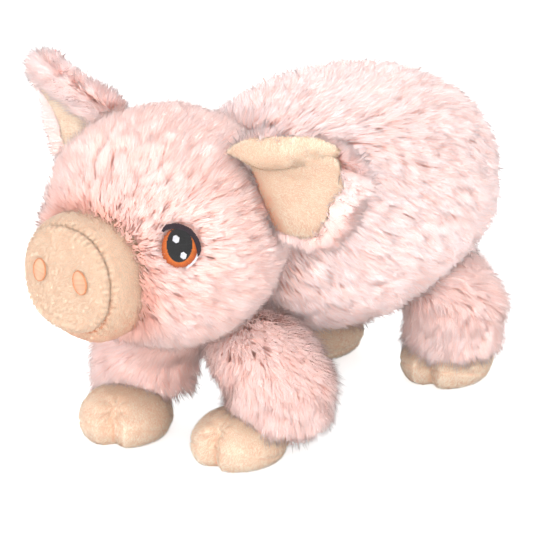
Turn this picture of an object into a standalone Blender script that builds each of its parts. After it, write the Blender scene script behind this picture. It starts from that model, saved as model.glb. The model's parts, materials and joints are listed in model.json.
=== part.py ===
"""Plush pig, standing, about 25 cm long: fur covers, short-pile trims and their stuffing.

Metres, +Z up. The pig faces -Y and its left side is +X. The origin is on the floor under the
middle of the pig. Every stuffed piece is its own closed solid.
"""
from math import atan2, cos, hypot, pi, radians, sin

import bmesh
import bpy
from mathutils import Euler, Matrix, Quaternion, Vector

# Driving dimensions
TOTAL_LENGTH = 0.256
PILE = 0.008
SEAT_GAP = 0.0003
OVERRUN = 0.004

# Torso: a long round-ended cushion, fullest at the rump
TORSO_LENGTH = 0.158
TORSO_HALF_WIDTH = 0.060
TORSO_HALF_HEIGHT = 0.057
TORSO_MID_HEIGHT = 0.093
TORSO_FULLNESS = 2.4
TORSO_DOME_SHARES = (0.47, 0.45, 0.42)
TORSO_WIDTH_SHARES = (0.74, 0.82, 0.91, 0.98, 1.00, 0.99)
TORSO_TOP_SHARES = (0.86, 0.87, 0.90, 0.91, 0.91, 0.90)
TORSO_BELLY_SHARES = (0.72, 0.88, 1.01, 0.98, 0.93, 0.92)

# Head: round behind, where it turns in the torso, and fuller at the cheeks
HEAD_RADIUS = 0.053
HEAD_PIVOT_HEIGHT = 0.106
HEAD_FRONT = 0.053
HEAD_END_FULLNESS = 0.62
HEAD_WIDTH_SHARES = (1.00, 1.00, 1.00, 0.95, 0.90)
HEAD_TOP_SHARES = (1.00, 1.01, 0.97, 0.88, 0.84)
HEAD_JAW_SHARES = (1.00, 0.97, 0.93, 0.90, 0.90)
HEAD_SQUARENESS_SHARE = 0.25
NECK_STUFFING_DEPTH = 0.006
NECK_OPENING_RADIUS = 0.024
NECK_BOWL_ANGLE = radians(30)
NECK_POCKET_ANGLE = radians(46)
NECK_HOLLOW_ANGLE = radians(62)
NECK_PLUG_LENGTH = 0.024

# Snout: a short drum with a flat disc in front
SNOUT_HALF_WIDTH = 0.0265
SNOUT_HALF_HEIGHT = 0.0255
SNOUT_MID_HEIGHT = 0.0990
SNOUT_REACH = 0.014
SNOUT_BAND_LENGTH = 0.027
SNOUT_FLARE_SHARES = (0.93, 1.02, 1.05, 1.03, 0.98)
SNOUT_CHIN_SHARES = (0.93, 1.12, 1.20, 1.20, 1.10)
SNOUT_SKIN = 0.0025
SNOUT_FACE_DEPTH = 0.0055
SNOUT_FACE_PROFILE_SHARES = ((0.0, 0.0), (0.35, 0.02), (0.62, 0.09), (0.74, 0.16), (0.90, 0.30), (0.98, 0.60))
SNOUT_FULLNESS = 2.2
NOSTRIL_SPACING = 0.0235
NOSTRIL_HALF_WIDTH = 0.0038
NOSTRIL_HALF_HEIGHT = 0.0055
NOSTRIL_DEPTH = 0.0016
NOSTRIL_RISE = 0.0030
NOSTRIL_SINK = 0.0020
NOSTRIL_LEAN = radians(14)

# Eyes: embroidered ovals sunk in the pile
EYE_FORWARD = 0.0360
EYE_RISE = 0.0105
EYE_HALF_WIDTH = 0.0082
EYE_HALF_HEIGHT = 0.0095
EYE_THICKNESS = 0.0022
EYE_SINK = 0.0030
EYE_TURN = radians(38)
EYE_TIP = radians(14)

# Ears: a fur back and a short-pile lining on a rolled root
EAR_ROOT_UP = radians(24)
EAR_ROOT_BACK = radians(17)
EAR_ROOT_SINK = 0.0015
EAR_LENGTH = 0.052
EAR_HALF_WIDTH = 0.0245
EAR_LINING_THICKNESS = 0.0025
EAR_FUR_THICKNESS = 0.0065
EAR_CUP_DEPTH = 0.0100
EAR_RIM = 0.0035
EAR_RISE = radians(17)
EAR_SWEEP = radians(9)
EAR_LEAN = radians(14)
EAR_WIDTH_SHARES = (0.72, 0.90, 1.00, 0.98, 0.86, 0.60)
EAR_ROOT_TUCK = 0.0020
EAR_EDGE_SHARE = 0.35
EAR_SEAT_END = 0.0012
EAR_LINING_START = 0.0018

# Legs: fur sleeves with a ball at the hip
LEG_SPREAD = 0.038
FRONT_HIP_SETBACK = 0.009
HIND_HIP_SETBACK = 0.033
HIP_HEIGHT = 0.042
HIND_HIP_HEIGHT = 0.046
HIP_RADIUS = 0.0260
LEG_HEM_HEIGHT = 0.021
LEG_SHARES = (1.00, 0.92, 0.87, 0.86)
HIND_HIP_RADIUS = 0.0245
ANKLE_INWARD = 0.0030
FRONT_LEFT_STEP = -0.001
FRONT_RIGHT_STEP = 0.012
HIND_LEFT_STEP = -0.003
HIND_RIGHT_STEP = 0.002
LEG_CORE_RADIUS = 0.0145
LEG_CORE_TOP_SHARE = 0.75
FRONT_CORE_TURN = (radians(-30), radians(-38))
HIND_CORE_TURN = (radians(10), radians(-20))

# Feet: short-pile trotters with a cleft in front
FOOT_HALF_WIDTH = 0.0205
FOOT_HALF_LENGTH = 0.0235
FOOT_HEIGHT = 0.0235
FRONT_FOOT_FORWARD = 0.0170
HIND_LEFT_FOOT_FORWARD = 0.0015
HIND_RIGHT_FOOT_FORWARD = 0.0120
FRONT_FOOT_INWARD = 0.0070
HIND_FOOT_INWARD = 0.0020
FRONT_LEFT_TOE_OUT = radians(4)
FRONT_RIGHT_TOE_OUT = radians(-24)
HIND_TOE_OUT = radians(14)
CLEFT_DEPTH = 0.0065
CLEFT_HALF_ANGLE = radians(17)
FOOT_HEIGHT_SHARES = (0.0, 0.12, 0.33, 0.55, 0.76, 0.92)
FOOT_GIRTH_SHARES = (0.74, 0.91, 1.00, 0.96, 0.78, 0.47)
FOOT_CROWN_SHARE = 0.2

# Tail: one short curl on a small ball
TAIL_RADIUS = 0.0030
TAIL_COIL_RADIUS = 0.0080
TAIL_REACH = 0.0085
TAIL_TURNS = 0.85
TAIL_STEM_SHARE = 0.15
TAIL_BALL_RADIUS = 0.0050
TAIL_SINK = 0.0020
TAIL_RISE = -0.0080

SIDES = {"left": 1, "right": -1}
SHARP_ANGLE = radians(40)


def clear_scene():
    """Starts from an empty scene."""
    for old in list(bpy.data.objects):
        bpy.data.objects.remove(old)


def finish(name, colour, roughness):
    """A plain cloth-like finish in the piece's own colour."""
    material = bpy.data.materials.new(name)
    material.use_nodes = True
    shader = material.node_tree.nodes["Principled BSDF"]
    shader.inputs["Base Color"].default_value = (*colour, 1)
    shader.inputs["Roughness"].default_value = roughness
    shader.inputs["Metallic"].default_value = 0
    return material


def between(shares, t):
    """Reads a row of evenly spaced shares at t from 0 to 1, along a smooth curve."""
    last = len(shares) - 1
    place = min(max(t, 0.0), 1.0) * last
    i = min(int(place), last - 1)
    f = place - i
    before = shares[max(i - 1, 0)]
    a = shares[i]
    b = shares[i + 1]
    after = shares[min(i + 2, last)]
    slope_a = (b - before) / 2
    slope_b = (after - a) / 2
    rise = b - a
    return a + f * (slope_a + f * (3 * rise - 2 * slope_a - slope_b + f * (slope_a + slope_b - 2 * rise)))


def add_object(name, mesh, material=None, at=(0, 0, 0)):
    """Puts a mesh in the scene under its own name."""
    piece = bpy.data.objects.new(name, mesh)
    bpy.context.collection.objects.link(piece)
    piece.location = at
    if material is not None:
        mesh.materials.append(material)
    return piece


def skinned(name, rings, material=None, at=(0, 0, 0)):
    """A closed solid through rings of points. A ring of one point is a pole, another end ring is capped."""
    bm = bmesh.new()
    origin = Vector(at)
    rows = [[bm.verts.new(Vector(point) - origin) for point in ring] for ring in rings]
    for low, high in zip(rows, rows[1:]):
        count = max(len(low), len(high))
        for i in range(count):
            j = (i + 1) % count
            corners = [low[i % len(low)], low[j % len(low)], high[j % len(high)], high[i % len(high)]]
            bm.faces.new(list(dict.fromkeys(corners)))
    for row in (rows[0], rows[-1]):
        if len(row) > 1:
            bm.faces.new(row)
    bmesh.ops.recalc_face_normals(bm, faces=bm.faces)
    bmesh.ops.triangulate(bm, faces=bm.faces)
    mesh = bpy.data.meshes.new(name)
    bm.to_mesh(mesh)
    bm.free()
    mesh.shade_smooth()
    mesh.set_sharp_from_angle(angle=SHARP_ANGLE)
    return add_object(name, mesh, material, at)


def guide(piece):
    """Marks a shape as a cutter, which is no piece of the pig."""
    piece.hide_render = True
    piece.display_type = "WIRE"
    return piece


def combine(piece, others, operation):
    """Cuts pieces by others, or joins them, with exact Booleans, and keeps the result as its mesh."""
    for other in others:
        step = piece.modifiers.new(operation.title(), "BOOLEAN")
        step.operation = operation
        step.solver = "EXACT"
        step.object = other
    bpy.context.view_layer.update()
    seen = piece.evaluated_get(bpy.context.evaluated_depsgraph_get())
    mesh = bpy.data.meshes.new_from_object(seen)
    piece.modifiers.clear()
    piece.data = mesh
    mesh.name = piece.name
    mesh.shade_smooth()
    mesh.set_sharp_from_angle(angle=SHARP_ANGLE)
    return piece


def remove(pieces):
    """Takes away cutters that have done their work."""
    for piece in pieces:
        bpy.data.objects.remove(piece)


def ball(name, centre, radius, segments, material=None):
    """A round seat or ball about a point."""
    mesh = bpy.data.meshes.new(name)
    bm = bmesh.new()
    bmesh.ops.create_uvsphere(bm, u_segments=segments, v_segments=segments // 2, radius=radius)
    bm.to_mesh(mesh)
    bm.free()
    return add_object(name, mesh, material, centre)


def seat_radius(radius, segments):
    """The radius of a faceted seat whose flats clear a ball of the given radius by the seat gap."""
    return (radius + SEAT_GAP) / cos(pi / segments) ** 2


def section(centre, half_width, up, down, fullness, count, across=(1, 0, 0), rise=(0, 0, 1), phase=0):
    """One ring: a rounded-square section, which may be taller above its centre than below.

    phase turns the ring's points by a part of their spacing, so that a cutter's edges miss the cut
    piece's own edges.
    """
    across = Vector(across)
    rise = Vector(rise)
    points = []
    for i in range(count):
        angle = 2 * pi * (i + phase) / count
        c = cos(angle)
        s = sin(angle)
        reach = (abs(c) ** fullness + abs(s) ** fullness) ** (-1 / fullness)
        tall = up if s > 0 else down
        points.append(Vector(centre) + across * (half_width * reach * c) + rise * (tall * reach * s))
    return points


def bulging_rings(front_y, length, mid_height, inset, rings, count, sizes, dome_shares, fullness):
    """Rings along Y for a cushion with domed ends. sizes gives half width, top and bottom at a share."""
    half = length / 2
    middle = front_y + half
    found = [[Vector((0, middle - half + inset, mid_height))]]
    for i in range(1, rings):
        turn = pi * i / rings
        t = (1 - cos(turn)) / 2
        dome = sin(turn) ** between(dome_shares, t)
        y = middle - (half - inset) * cos(turn)
        width, top, bottom = (size * dome - inset for size in sizes(t))
        found.append(section((0, y, mid_height), width, top, bottom, fullness, count))
    found.append([Vector((0, middle + half - inset, mid_height))])
    return found


RUMP_Y = TOTAL_LENGTH / 2 - TAIL_REACH
TORSO_FRONT_Y = RUMP_Y - TORSO_LENGTH
TORSO_RINGS = 12
TORSO_SIDES = 20


def torso_sizes(t):
    return (
        TORSO_HALF_WIDTH * between(TORSO_WIDTH_SHARES, t),
        TORSO_HALF_HEIGHT * between(TORSO_TOP_SHARES, t),
        TORSO_HALF_HEIGHT * between(TORSO_BELLY_SHARES, t),
    )


def torso_form(name, inset, material=None):
    """The torso's outside, or the same shape drawn in by an inset."""
    rings = bulging_rings(
        TORSO_FRONT_Y, TORSO_LENGTH, TORSO_MID_HEIGHT, inset, TORSO_RINGS, TORSO_SIDES,
        torso_sizes, TORSO_DOME_SHARES, TORSO_FULLNESS,
    )
    return skinned(name, rings, material)


SNOUT_TIP_Y = -TOTAL_LENGTH / 2
HEAD_PIVOT = Vector((0, SNOUT_TIP_Y + SNOUT_REACH + HEAD_FRONT, HEAD_PIVOT_HEIGHT))
HEAD_BACK_RINGS = 5
HEAD_FRONT_RINGS = 6
HEAD_SIDES = 22


def head_form(name, inset, material=None):
    """The head's outside, round about its pivot behind and shaped by shares in front."""
    rings = [[HEAD_PIVOT + Vector((0, HEAD_RADIUS - inset, 0))]]
    for i in range(1, HEAD_BACK_RINGS + 1):
        turn = pi / 2 * i / HEAD_BACK_RINGS
        centre = HEAD_PIVOT + Vector((0, (HEAD_RADIUS - inset) * cos(turn), 0))
        radius = (HEAD_RADIUS - inset) * sin(turn)
        rings.append(section(centre, radius, radius, radius, 2, HEAD_SIDES))
    for i in range(1, HEAD_FRONT_RINGS):
        turn = pi / 2 * i / HEAD_FRONT_RINGS
        t = sin(turn)
        dome = cos(turn) ** HEAD_END_FULLNESS
        centre = HEAD_PIVOT + Vector((0, -(HEAD_FRONT - inset) * t, 0))
        width, top, jaw = (
            HEAD_RADIUS * between(shares, t) * dome - inset
            for shares in (HEAD_WIDTH_SHARES, HEAD_TOP_SHARES, HEAD_JAW_SHARES)
        )
        rings.append(section(centre, width, top, jaw, 2 + HEAD_SQUARENESS_SHARE * t, HEAD_SIDES))
    rings.append([HEAD_PIVOT - Vector((0, HEAD_FRONT - inset, 0))])
    return skinned(name, rings, material)


SNOUT_BAND_FRONT_Y = SNOUT_TIP_Y + SNOUT_FACE_DEPTH + SEAT_GAP
SNOUT_SIDES = 20
SNOUT_STATIONS = 5


def snout_rings(inset, front_y, back_y):
    """Rings of the snout's drum between two places along Y, drawn in by an inset."""
    rings = []
    for i in range(SNOUT_STATIONS):
        t = i / (SNOUT_STATIONS - 1)
        flare = between(SNOUT_FLARE_SHARES, t)
        y = front_y + (back_y - front_y) * t
        width = SNOUT_HALF_WIDTH * flare - inset
        top = SNOUT_HALF_HEIGHT * flare - inset
        chin = SNOUT_HALF_HEIGHT * between(SNOUT_CHIN_SHARES, t) - inset
        rings.append(section((0, y, SNOUT_MID_HEIGHT), width, top, chin, SNOUT_FULLNESS,
                             SNOUT_SIDES, phase=0.5))
    return rings


def snout_drum(name, inset, front_extra=0.0, back_extra=0.0, material=None):
    """The snout's drum, made longer at either end where it has to pass through something."""
    front = SNOUT_BAND_FRONT_Y
    back = SNOUT_BAND_FRONT_Y + SNOUT_BAND_LENGTH
    rings = snout_rings(inset, front, back)
    if front_extra:
        rings.insert(0, [point - Vector((0, front_extra, 0)) for point in rings[0]])
    if back_extra:
        rings.append([point + Vector((0, back_extra, 0)) for point in rings[-1]])
    return skinned(name, rings, material)


# Girth and lift of an oval pad's rings, domed or straight
OVAL_DOME_SHARES = ((1.0, 0.0), (1.0, 0.55), (0.86, 0.88))
OVAL_DRUM_SHARES = ((1.0, 0.0), (1.0, 1.0))


def oval(name, centre, outward, up, half_width, half_height, depth, dome, count, material=None):
    """An oval pad with a softly domed front, its back at the centre given."""
    outward = Vector(outward).normalized()
    across = Vector(up).cross(outward).normalized()
    rise = outward.cross(across)
    rings = [[Vector(centre)]] if dome else []
    for girth, lift in OVAL_DOME_SHARES if dome else OVAL_DRUM_SHARES:
        place = Vector(centre) + outward * (depth * lift)
        rings.append(section(place, half_width * girth, half_height * girth, half_height * girth,
                             2, count, across, rise))
    if dome:
        rings.append([Vector(centre) + outward * depth])
    return skinned(name, rings, material)


def leg_places(hip_y, hip_height, step, foot_forward, foot_inward):
    """Hip, ankle and foot places of a leg on the left side."""
    hip = Vector((LEG_SPREAD, hip_y, hip_height))
    ankle = Vector((LEG_SPREAD - ANKLE_INWARD, hip_y - step, LEG_HEM_HEIGHT))
    foot = Vector((ankle.x - foot_inward, ankle.y - foot_forward, 0))
    return hip, ankle, foot


def mirrored(point, side):
    return Vector((point.x * side, point.y, point.z))


LEG_SIDES = 14
LEG_BALL_RINGS = 3
LEG_SHAFT_RINGS = 3


def leg_form(name, hip, ankle, radius, material=None):
    """A leg sleeve's outside: a ball about the hip that runs into a round shaft down to the hem."""
    rings = [[hip + Vector((0, 0, radius))]]
    for i in range(1, LEG_BALL_RINGS + 1):
        turn = pi / 2 * i / LEG_BALL_RINGS
        girth = radius * sin(turn)
        rings.append(section(hip + Vector((0, 0, radius * cos(turn))), girth, girth, girth, 2,
                             LEG_SIDES, rise=(0, 1, 0)))
    for i in range(1, LEG_SHAFT_RINGS + 1):
        t = i / LEG_SHAFT_RINGS
        girth = radius * between(LEG_SHARES, t)
        centre = hip.lerp(ankle, t)
        rings.append(section(centre, girth, girth, girth, 2, LEG_SIDES, rise=(0, 1, 0)))
    return skinned(name, rings, material)


def leg_core(name, hip, ankle, turn, inset):
    """The round column of stuffing down a leg, bent at the hip towards the torso's inside.

    It is longer than the leg at both ends, and turn holds its bend about X and Y.
    """
    bend = Euler((*turn, 0)).to_quaternion()
    low = ankle - Vector((0, 0, OVERRUN))
    top = hip + bend @ Vector((0, 0, HIP_RADIUS + OVERRUN))
    upright = Quaternion()
    rings = []
    for centre, lean, share in (
        (low, upright, 1),
        (low.lerp(hip, 0.5), upright, 1),
        (hip, upright.slerp(bend, 0.5), 1),
        (top, bend, LEG_CORE_TOP_SHARE),
    ):
        radius = LEG_CORE_RADIUS * share - inset
        across = lean @ Vector((1, 0, 0))
        rise = lean @ Vector((0, 1, 0))
        rings.append(section(centre, radius, radius, radius, 2, LEG_SIDES, across, rise, phase=0.5))
    return skinned(name, rings)


FOOT_SIDES = 20


def foot_form(name, place, toe_out, inset, material=None):
    """A trotter: rounded, flat underneath, with a cleft running down the front."""
    rings = []
    turn = Matrix.Rotation(toe_out, 3, "Z")
    for share, girth in zip(FOOT_HEIGHT_SHARES, FOOT_GIRTH_SHARES):
        ring = []
        height = share * FOOT_HEIGHT - (inset if share else 0)
        for i in range(FOOT_SIDES):
            angle = 2 * pi * i / FOOT_SIDES - pi / 2
            off = abs(atan2(sin(angle + pi / 2), cos(angle + pi / 2)))
            notch = CLEFT_DEPTH * max(0.0, 1 - (off / CLEFT_HALF_ANGLE) ** 2)
            x = (FOOT_HALF_WIDTH * girth - inset) * cos(angle)
            y = (FOOT_HALF_LENGTH * girth - inset) * sin(angle)
            reach = hypot(x, y)
            keep = (reach - notch * girth) / reach
            spot = turn @ Vector((x * keep, y * keep, 0))
            ring.append(place + spot + Vector((0, 0, height)))
        rings.append(ring)
    rings.append([place + turn @ Vector((0, FOOT_HALF_LENGTH * FOOT_CROWN_SHARE, FOOT_HEIGHT - inset))])
    return skinned(name, rings, material)


clear_scene()

# Finishes in the photographed colours
fur = finish("pale pink fur", (0.93, 0.66, 0.63), 0.95)
velboa = finish("peach short pile", (0.84, 0.62, 0.44), 0.80)
filling = finish("white polyester filling", (0.90, 0.90, 0.88), 0.95)
nostril_thread = finish("salmon satin thread", (0.75, 0.40, 0.22), 0.45)
eye_thread = finish("brown and black eye thread", (0.30, 0.08, 0.03), 0.45)

# Seats shared by neighbours
HEAD_SEAT_SIDES = 24
HIP_SEAT_SIDES = 16
head_seat = guide(ball("head_seat", HEAD_PIVOT, seat_radius(HEAD_RADIUS, HEAD_SEAT_SIDES), HEAD_SEAT_SIDES))
front_hip_y = TORSO_FRONT_Y + FRONT_HIP_SETBACK
hind_hip_y = RUMP_Y - HIND_HIP_SETBACK
legs = {}
for word, side in SIDES.items():
    front_step = FRONT_LEFT_STEP if side > 0 else FRONT_RIGHT_STEP
    hind_step = HIND_LEFT_STEP if side > 0 else HIND_RIGHT_STEP
    front_toe_out = FRONT_LEFT_TOE_OUT if side > 0 else FRONT_RIGHT_TOE_OUT
    front_places = leg_places(front_hip_y, HIP_HEIGHT, front_step, FRONT_FOOT_FORWARD, FRONT_FOOT_INWARD)
    hind_forward = HIND_LEFT_FOOT_FORWARD if side > 0 else HIND_RIGHT_FOOT_FORWARD
    hind_places = leg_places(hind_hip_y, HIND_HIP_HEIGHT, hind_step, hind_forward, HIND_FOOT_INWARD)
    for pair, places, radius, toe_out, (turn_x, turn_y) in (
        ("front", front_places, HIP_RADIUS, front_toe_out, FRONT_CORE_TURN),
        ("hind", hind_places, HIND_HIP_RADIUS, HIND_TOE_OUT, HIND_CORE_TURN),
    ):
        hip, ankle, foot = (mirrored(point, side) for point in places)
        legs[f"{pair}_{word}"] = (hip, ankle, foot, radius, toe_out * side, (turn_x, turn_y * side))
hip_seats = [
    guide(ball("hip_seat_" + name, hip, seat_radius(radius, HIP_SEAT_SIDES), HIP_SEAT_SIDES))
    for name, (hip, _, _, radius, _, _) in legs.items()
]


def back_cap(name, radius, angle, material=None):
    """The part of a ball about the head's pivot that lies behind a plane, out to an angle from +Y."""
    rings = [[HEAD_PIVOT + Vector((0, radius, 0))]]
    for i in range(1, HEAD_BACK_RINGS + 1):
        turn = angle * i / HEAD_BACK_RINGS
        girth = radius * sin(turn)
        centre = HEAD_PIVOT + Vector((0, radius * cos(turn), 0))
        rings.append(section(centre, girth, girth, girth, 2, HEAD_SIDES))
    return skinned(name, rings, material)


# Neck stuffing: a bowl between the head's round back and the torso
neck_radius = HEAD_RADIUS + NECK_STUFFING_DEPTH
neck_stuffing = back_cap("neck_stuffing", neck_radius, NECK_BOWL_ANGLE, filling)
combine(neck_stuffing, [head_seat], "DIFFERENCE")
neck_seat_radius = seat_radius(neck_radius, HEAD_SEAT_SIDES)
neck_pocket = guide(back_cap("neck_pocket", neck_seat_radius, NECK_POCKET_ANGLE))
neck_hollow = guide(back_cap("neck_hollow", neck_seat_radius, NECK_HOLLOW_ANGLE))

# Tail: a curl of stuffed fabric on a ball that sits in the rump
tail_root = Vector((0, RUMP_Y - TAIL_SINK, TORSO_MID_HEIGHT + TAIL_RISE))
TAIL_BALL_SIDES = 10
TAIL_SEAT_SIDES = 12
tail_seat_radius = seat_radius(TAIL_BALL_RADIUS, TAIL_SEAT_SIDES)
tail_seat = guide(ball("tail_seat", tail_root, tail_seat_radius, TAIL_SEAT_SIDES))
tail_path = bpy.data.curves.new("tail_path", "CURVE")
tail_path.dimensions = "3D"
tail_path.bevel_depth = TAIL_RADIUS
tail_path.bevel_resolution = 1
tail_path.use_fill_caps = True
spline = tail_path.splines.new("POLY")
TAIL_POINTS = 16
spline.points.add(TAIL_POINTS - 1)
for i, point in enumerate(spline.points):
    share = i / (TAIL_POINTS - 1)
    angle = 2 * pi * TAIL_TURNS * max(0, share - TAIL_STEM_SHARE) / (1 - TAIL_STEM_SHARE)
    away = (TAIL_REACH + TAIL_SINK - TAIL_RADIUS) * min(1, share / TAIL_STEM_SHARE)
    point.co = (*(tail_root + Vector((
        TAIL_COIL_RADIUS * sin(angle), away, TAIL_COIL_RADIUS * (1 - cos(angle))
    ))), 1)
tail_curve = bpy.data.objects.new("tail_curve", tail_path)
bpy.context.collection.objects.link(tail_curve)
bpy.context.view_layer.update()
tail_mesh = bpy.data.meshes.new_from_object(tail_curve.evaluated_get(bpy.context.evaluated_depsgraph_get()))
remove([tail_curve])
tail_mesh.materials.clear()
tail = add_object("tail", tail_mesh, fur)
tail_ball = guide(ball("tail_ball", tail_root, TAIL_BALL_RADIUS, TAIL_BALL_SIDES))
combine(tail, [tail_ball], "UNION")
tail.data.transform(Matrix.Translation(-tail_root))
tail.location = tail_root

# Torso: a fur cover with openings, and the stuffing in it
torso_cavity = guide(torso_form("torso_cavity", PILE))
torso_cover = torso_form("torso_cover", 0, fur)
combine(torso_cover, [torso_cavity, head_seat, neck_pocket, tail_seat, *hip_seats], "DIFFERENCE")
torso_stuffing = torso_form("torso_stuffing", PILE + SEAT_GAP, filling)
combine(torso_stuffing, [head_seat, neck_hollow, tail_seat, *hip_seats], "DIFFERENCE")

# Head: a fur cover, open at the neck and for the snout
neck_front = HEAD_PIVOT + Vector((0, HEAD_RADIUS - NECK_PLUG_LENGTH, 0))
neck_back = HEAD_PIVOT + Vector((0, HEAD_RADIUS + OVERRUN, 0))
neck_opening = guide(skinned("neck_opening", [
    section(place, NECK_OPENING_RADIUS, NECK_OPENING_RADIUS, NECK_OPENING_RADIUS, 2, HEAD_SIDES, phase=0.5)
    for place in (neck_front, neck_back)
]))
plug_radius = NECK_OPENING_RADIUS - SEAT_GAP
neck_plug = guide(skinned("neck_plug", [
    section(place, plug_radius, plug_radius, plug_radius, 2, HEAD_SIDES, phase=0.5)
    for place in (neck_front, neck_back)
]))
head_outside = guide(head_form("head_outside", 0))
head_cavity = guide(head_form("head_cavity", PILE))
snout_room = guide(snout_drum("snout_room", -SEAT_GAP, back_extra=PILE))
head_cover = head_form("head_cover", 0, fur)


def left_eye_place():
    """Where the middle of the left eye's back lies, and the way it faces."""
    t = EYE_FORWARD / HEAD_FRONT
    dome = (1 - t * t) ** (HEAD_END_FULLNESS / 2)
    fullness = 2 + HEAD_SQUARENESS_SHARE * t
    half = HEAD_RADIUS * between(HEAD_WIDTH_SHARES, t) * dome
    top = HEAD_RADIUS * between(HEAD_TOP_SHARES, t) * dome
    up = EYE_RISE / top
    x = half * (1 - up ** fullness) ** (1 / fullness)
    outward = Vector((cos(EYE_TIP) * cos(EYE_TURN), -cos(EYE_TIP) * sin(EYE_TURN), sin(EYE_TIP)))
    place = HEAD_PIVOT + Vector((x, -EYE_FORWARD, EYE_RISE))
    return place - outward * EYE_SINK, outward


EYE_SIDES = 16
eye_rooms = []
for word, side in SIDES.items():
    place, outward = (mirrored(vector, side) for vector in left_eye_place())
    oval(f"eye_{word}", place, outward, (0, 0, 1), EYE_HALF_WIDTH, EYE_HALF_HEIGHT,
         EYE_THICKNESS, True, EYE_SIDES, eye_thread)
    room_back = place - outward * SEAT_GAP
    eye_rooms.append(guide(oval(
        f"eye_room_{word}", room_back, outward, (0, 0, 1), EYE_HALF_WIDTH + SEAT_GAP,
        EYE_HALF_HEIGHT + SEAT_GAP, EYE_SINK + PILE, False, EYE_SIDES,
    )))


# Ears: each turns on the line of its root, which lies in a groove in the head cover
def left_ear_frame():
    """The left ear's root centre, and its directions: root to tip, along the root, and the way it faces."""
    root = HEAD_PIVOT + (HEAD_RADIUS - EAR_ROOT_SINK) * Vector((
        cos(EAR_ROOT_UP) * cos(EAR_ROOT_BACK), cos(EAR_ROOT_UP) * sin(EAR_ROOT_BACK), sin(EAR_ROOT_UP)
    ))
    tipward = Vector((cos(EAR_RISE) * cos(EAR_SWEEP), cos(EAR_RISE) * sin(EAR_SWEEP), sin(EAR_RISE)))
    facing = Vector((sin(EAR_SWEEP), -cos(EAR_SWEEP), 0))
    rootline = tipward.cross(facing)
    lean = Matrix.Rotation(EAR_LEAN, 3, tipward)
    return root, tipward, (lean @ rootline).normalized(), (lean @ facing).normalized()


EAR_COLUMNS = 6
EAR_ROWS = 7
EAR_GROOVE_SIDES = 16


def ear_layer(name, side, front, back, rim, material):
    """One cloth layer of an ear between two depths of its cupped surface."""
    root, tipward, rootline, facing = left_ear_frame()
    reach = EAR_LENGTH + rim
    outs = [EAR_LINING_START, *(EAR_LENGTH * row / EAR_ROWS for row in range(1, EAR_ROWS))]
    if rim:
        outs = [-EAR_ROOT_TUCK, 0, *outs]
    loops = []
    for out in outs:
        t = max(out, 0) / EAR_LENGTH
        half = EAR_HALF_WIDTH * between(EAR_WIDTH_SHARES, t) * (1 - t ** 4) ** 0.5
        spots = [half * (2 * k / EAR_COLUMNS - 1) for k in range(EAR_COLUMNS + 1)]
        if rim:
            spots = [-half - rim, *spots, half + rim]
        loop = []
        for level, order in ((front, spots), (back, spots[::-1])):
            for x in order:
                s = x / EAR_HALF_WIDTH
                cup = EAR_CUP_DEPTH * s * s * min(1, 2 * t)
                thick = level * (1 - EAR_EDGE_SHARE * min(1, s * s) ** 2)
                spot = root + tipward * out + rootline * x + facing * (cup + thick)
                loop.append(mirrored(spot, side))
        loops.append(loop)
    tip = root + tipward * reach + facing * ((front + back) / 2)
    loops.append([mirrored(tip, side)])
    piece = skinned(name, loops, material)
    middle = mirrored(root, side)
    piece.data.transform(Matrix.Translation(-middle))
    piece.location = middle
    return piece


ear_depth = EAR_LINING_THICKNESS + EAR_FUR_THICKNESS
ear_rooms = []
for word, side in SIDES.items():
    front = ear_depth / 2
    split = front - EAR_LINING_THICKNESS
    ear_layer(f"ear_lining_{word}", side, front, split, 0, velboa)
    ear_layer(f"ear_back_{word}", side, split - SEAT_GAP, -front, EAR_RIM, fur)
    root, tipward, rootline, facing = left_ear_frame()
    reach = EAR_HALF_WIDTH * EAR_WIDTH_SHARES[0] + EAR_RIM + EAR_SEAT_END
    groove_radius = seat_radius(hypot(EAR_ROOT_TUCK, front), EAR_GROOVE_SIDES)
    rings = [
        [mirrored(point, side) for point in section(
            root + rootline * along, groove_radius, groove_radius, groove_radius, 2,
            EAR_GROOVE_SIDES, facing, tipward)]
        for along in (-reach, reach)
    ]
    ear_rooms.append(guide(skinned(f"ear_room_{word}", rings)))

combine(head_cover, [head_cavity, neck_opening, snout_room, *eye_rooms, *ear_rooms], "DIFFERENCE")
head_stuffing = head_form("head_stuffing", PILE + SEAT_GAP, filling)
combine(neck_plug, [head_outside], "INTERSECT")
snout_core = guide(snout_drum("snout_core", SNOUT_SKIN + SEAT_GAP, back_extra=PILE))
combine(head_stuffing, [neck_plug, snout_core], "UNION")

# Snout: a band round the stuffing, and a face disc that closes it
snout_bore = guide(snout_drum("snout_bore", SNOUT_SKIN, OVERRUN, OVERRUN))
snout_band = snout_drum("snout_band", 0, material=velboa)
combine(snout_band, [snout_bore, head_cavity], "DIFFERENCE")
face_rings = []
for lift, inset_share in SNOUT_FACE_PROFILE_SHARES:
    y = SNOUT_TIP_Y + SNOUT_FACE_DEPTH * (1 - lift)
    inset = SNOUT_HALF_WIDTH * inset_share
    flare = SNOUT_FLARE_SHARES[0]
    face_rings.append(section(
        (0, y, SNOUT_MID_HEIGHT), SNOUT_HALF_WIDTH * flare - inset, SNOUT_HALF_HEIGHT * flare - inset,
        SNOUT_HALF_HEIGHT * SNOUT_CHIN_SHARES[0] - inset, SNOUT_FULLNESS, SNOUT_SIDES))
face_rings.append([Vector((0, SNOUT_TIP_Y, SNOUT_MID_HEIGHT))])
snout_face = skinned("snout_face", face_rings, velboa)
NOSTRIL_SIDES = 14
nostril_rooms = []
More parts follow.
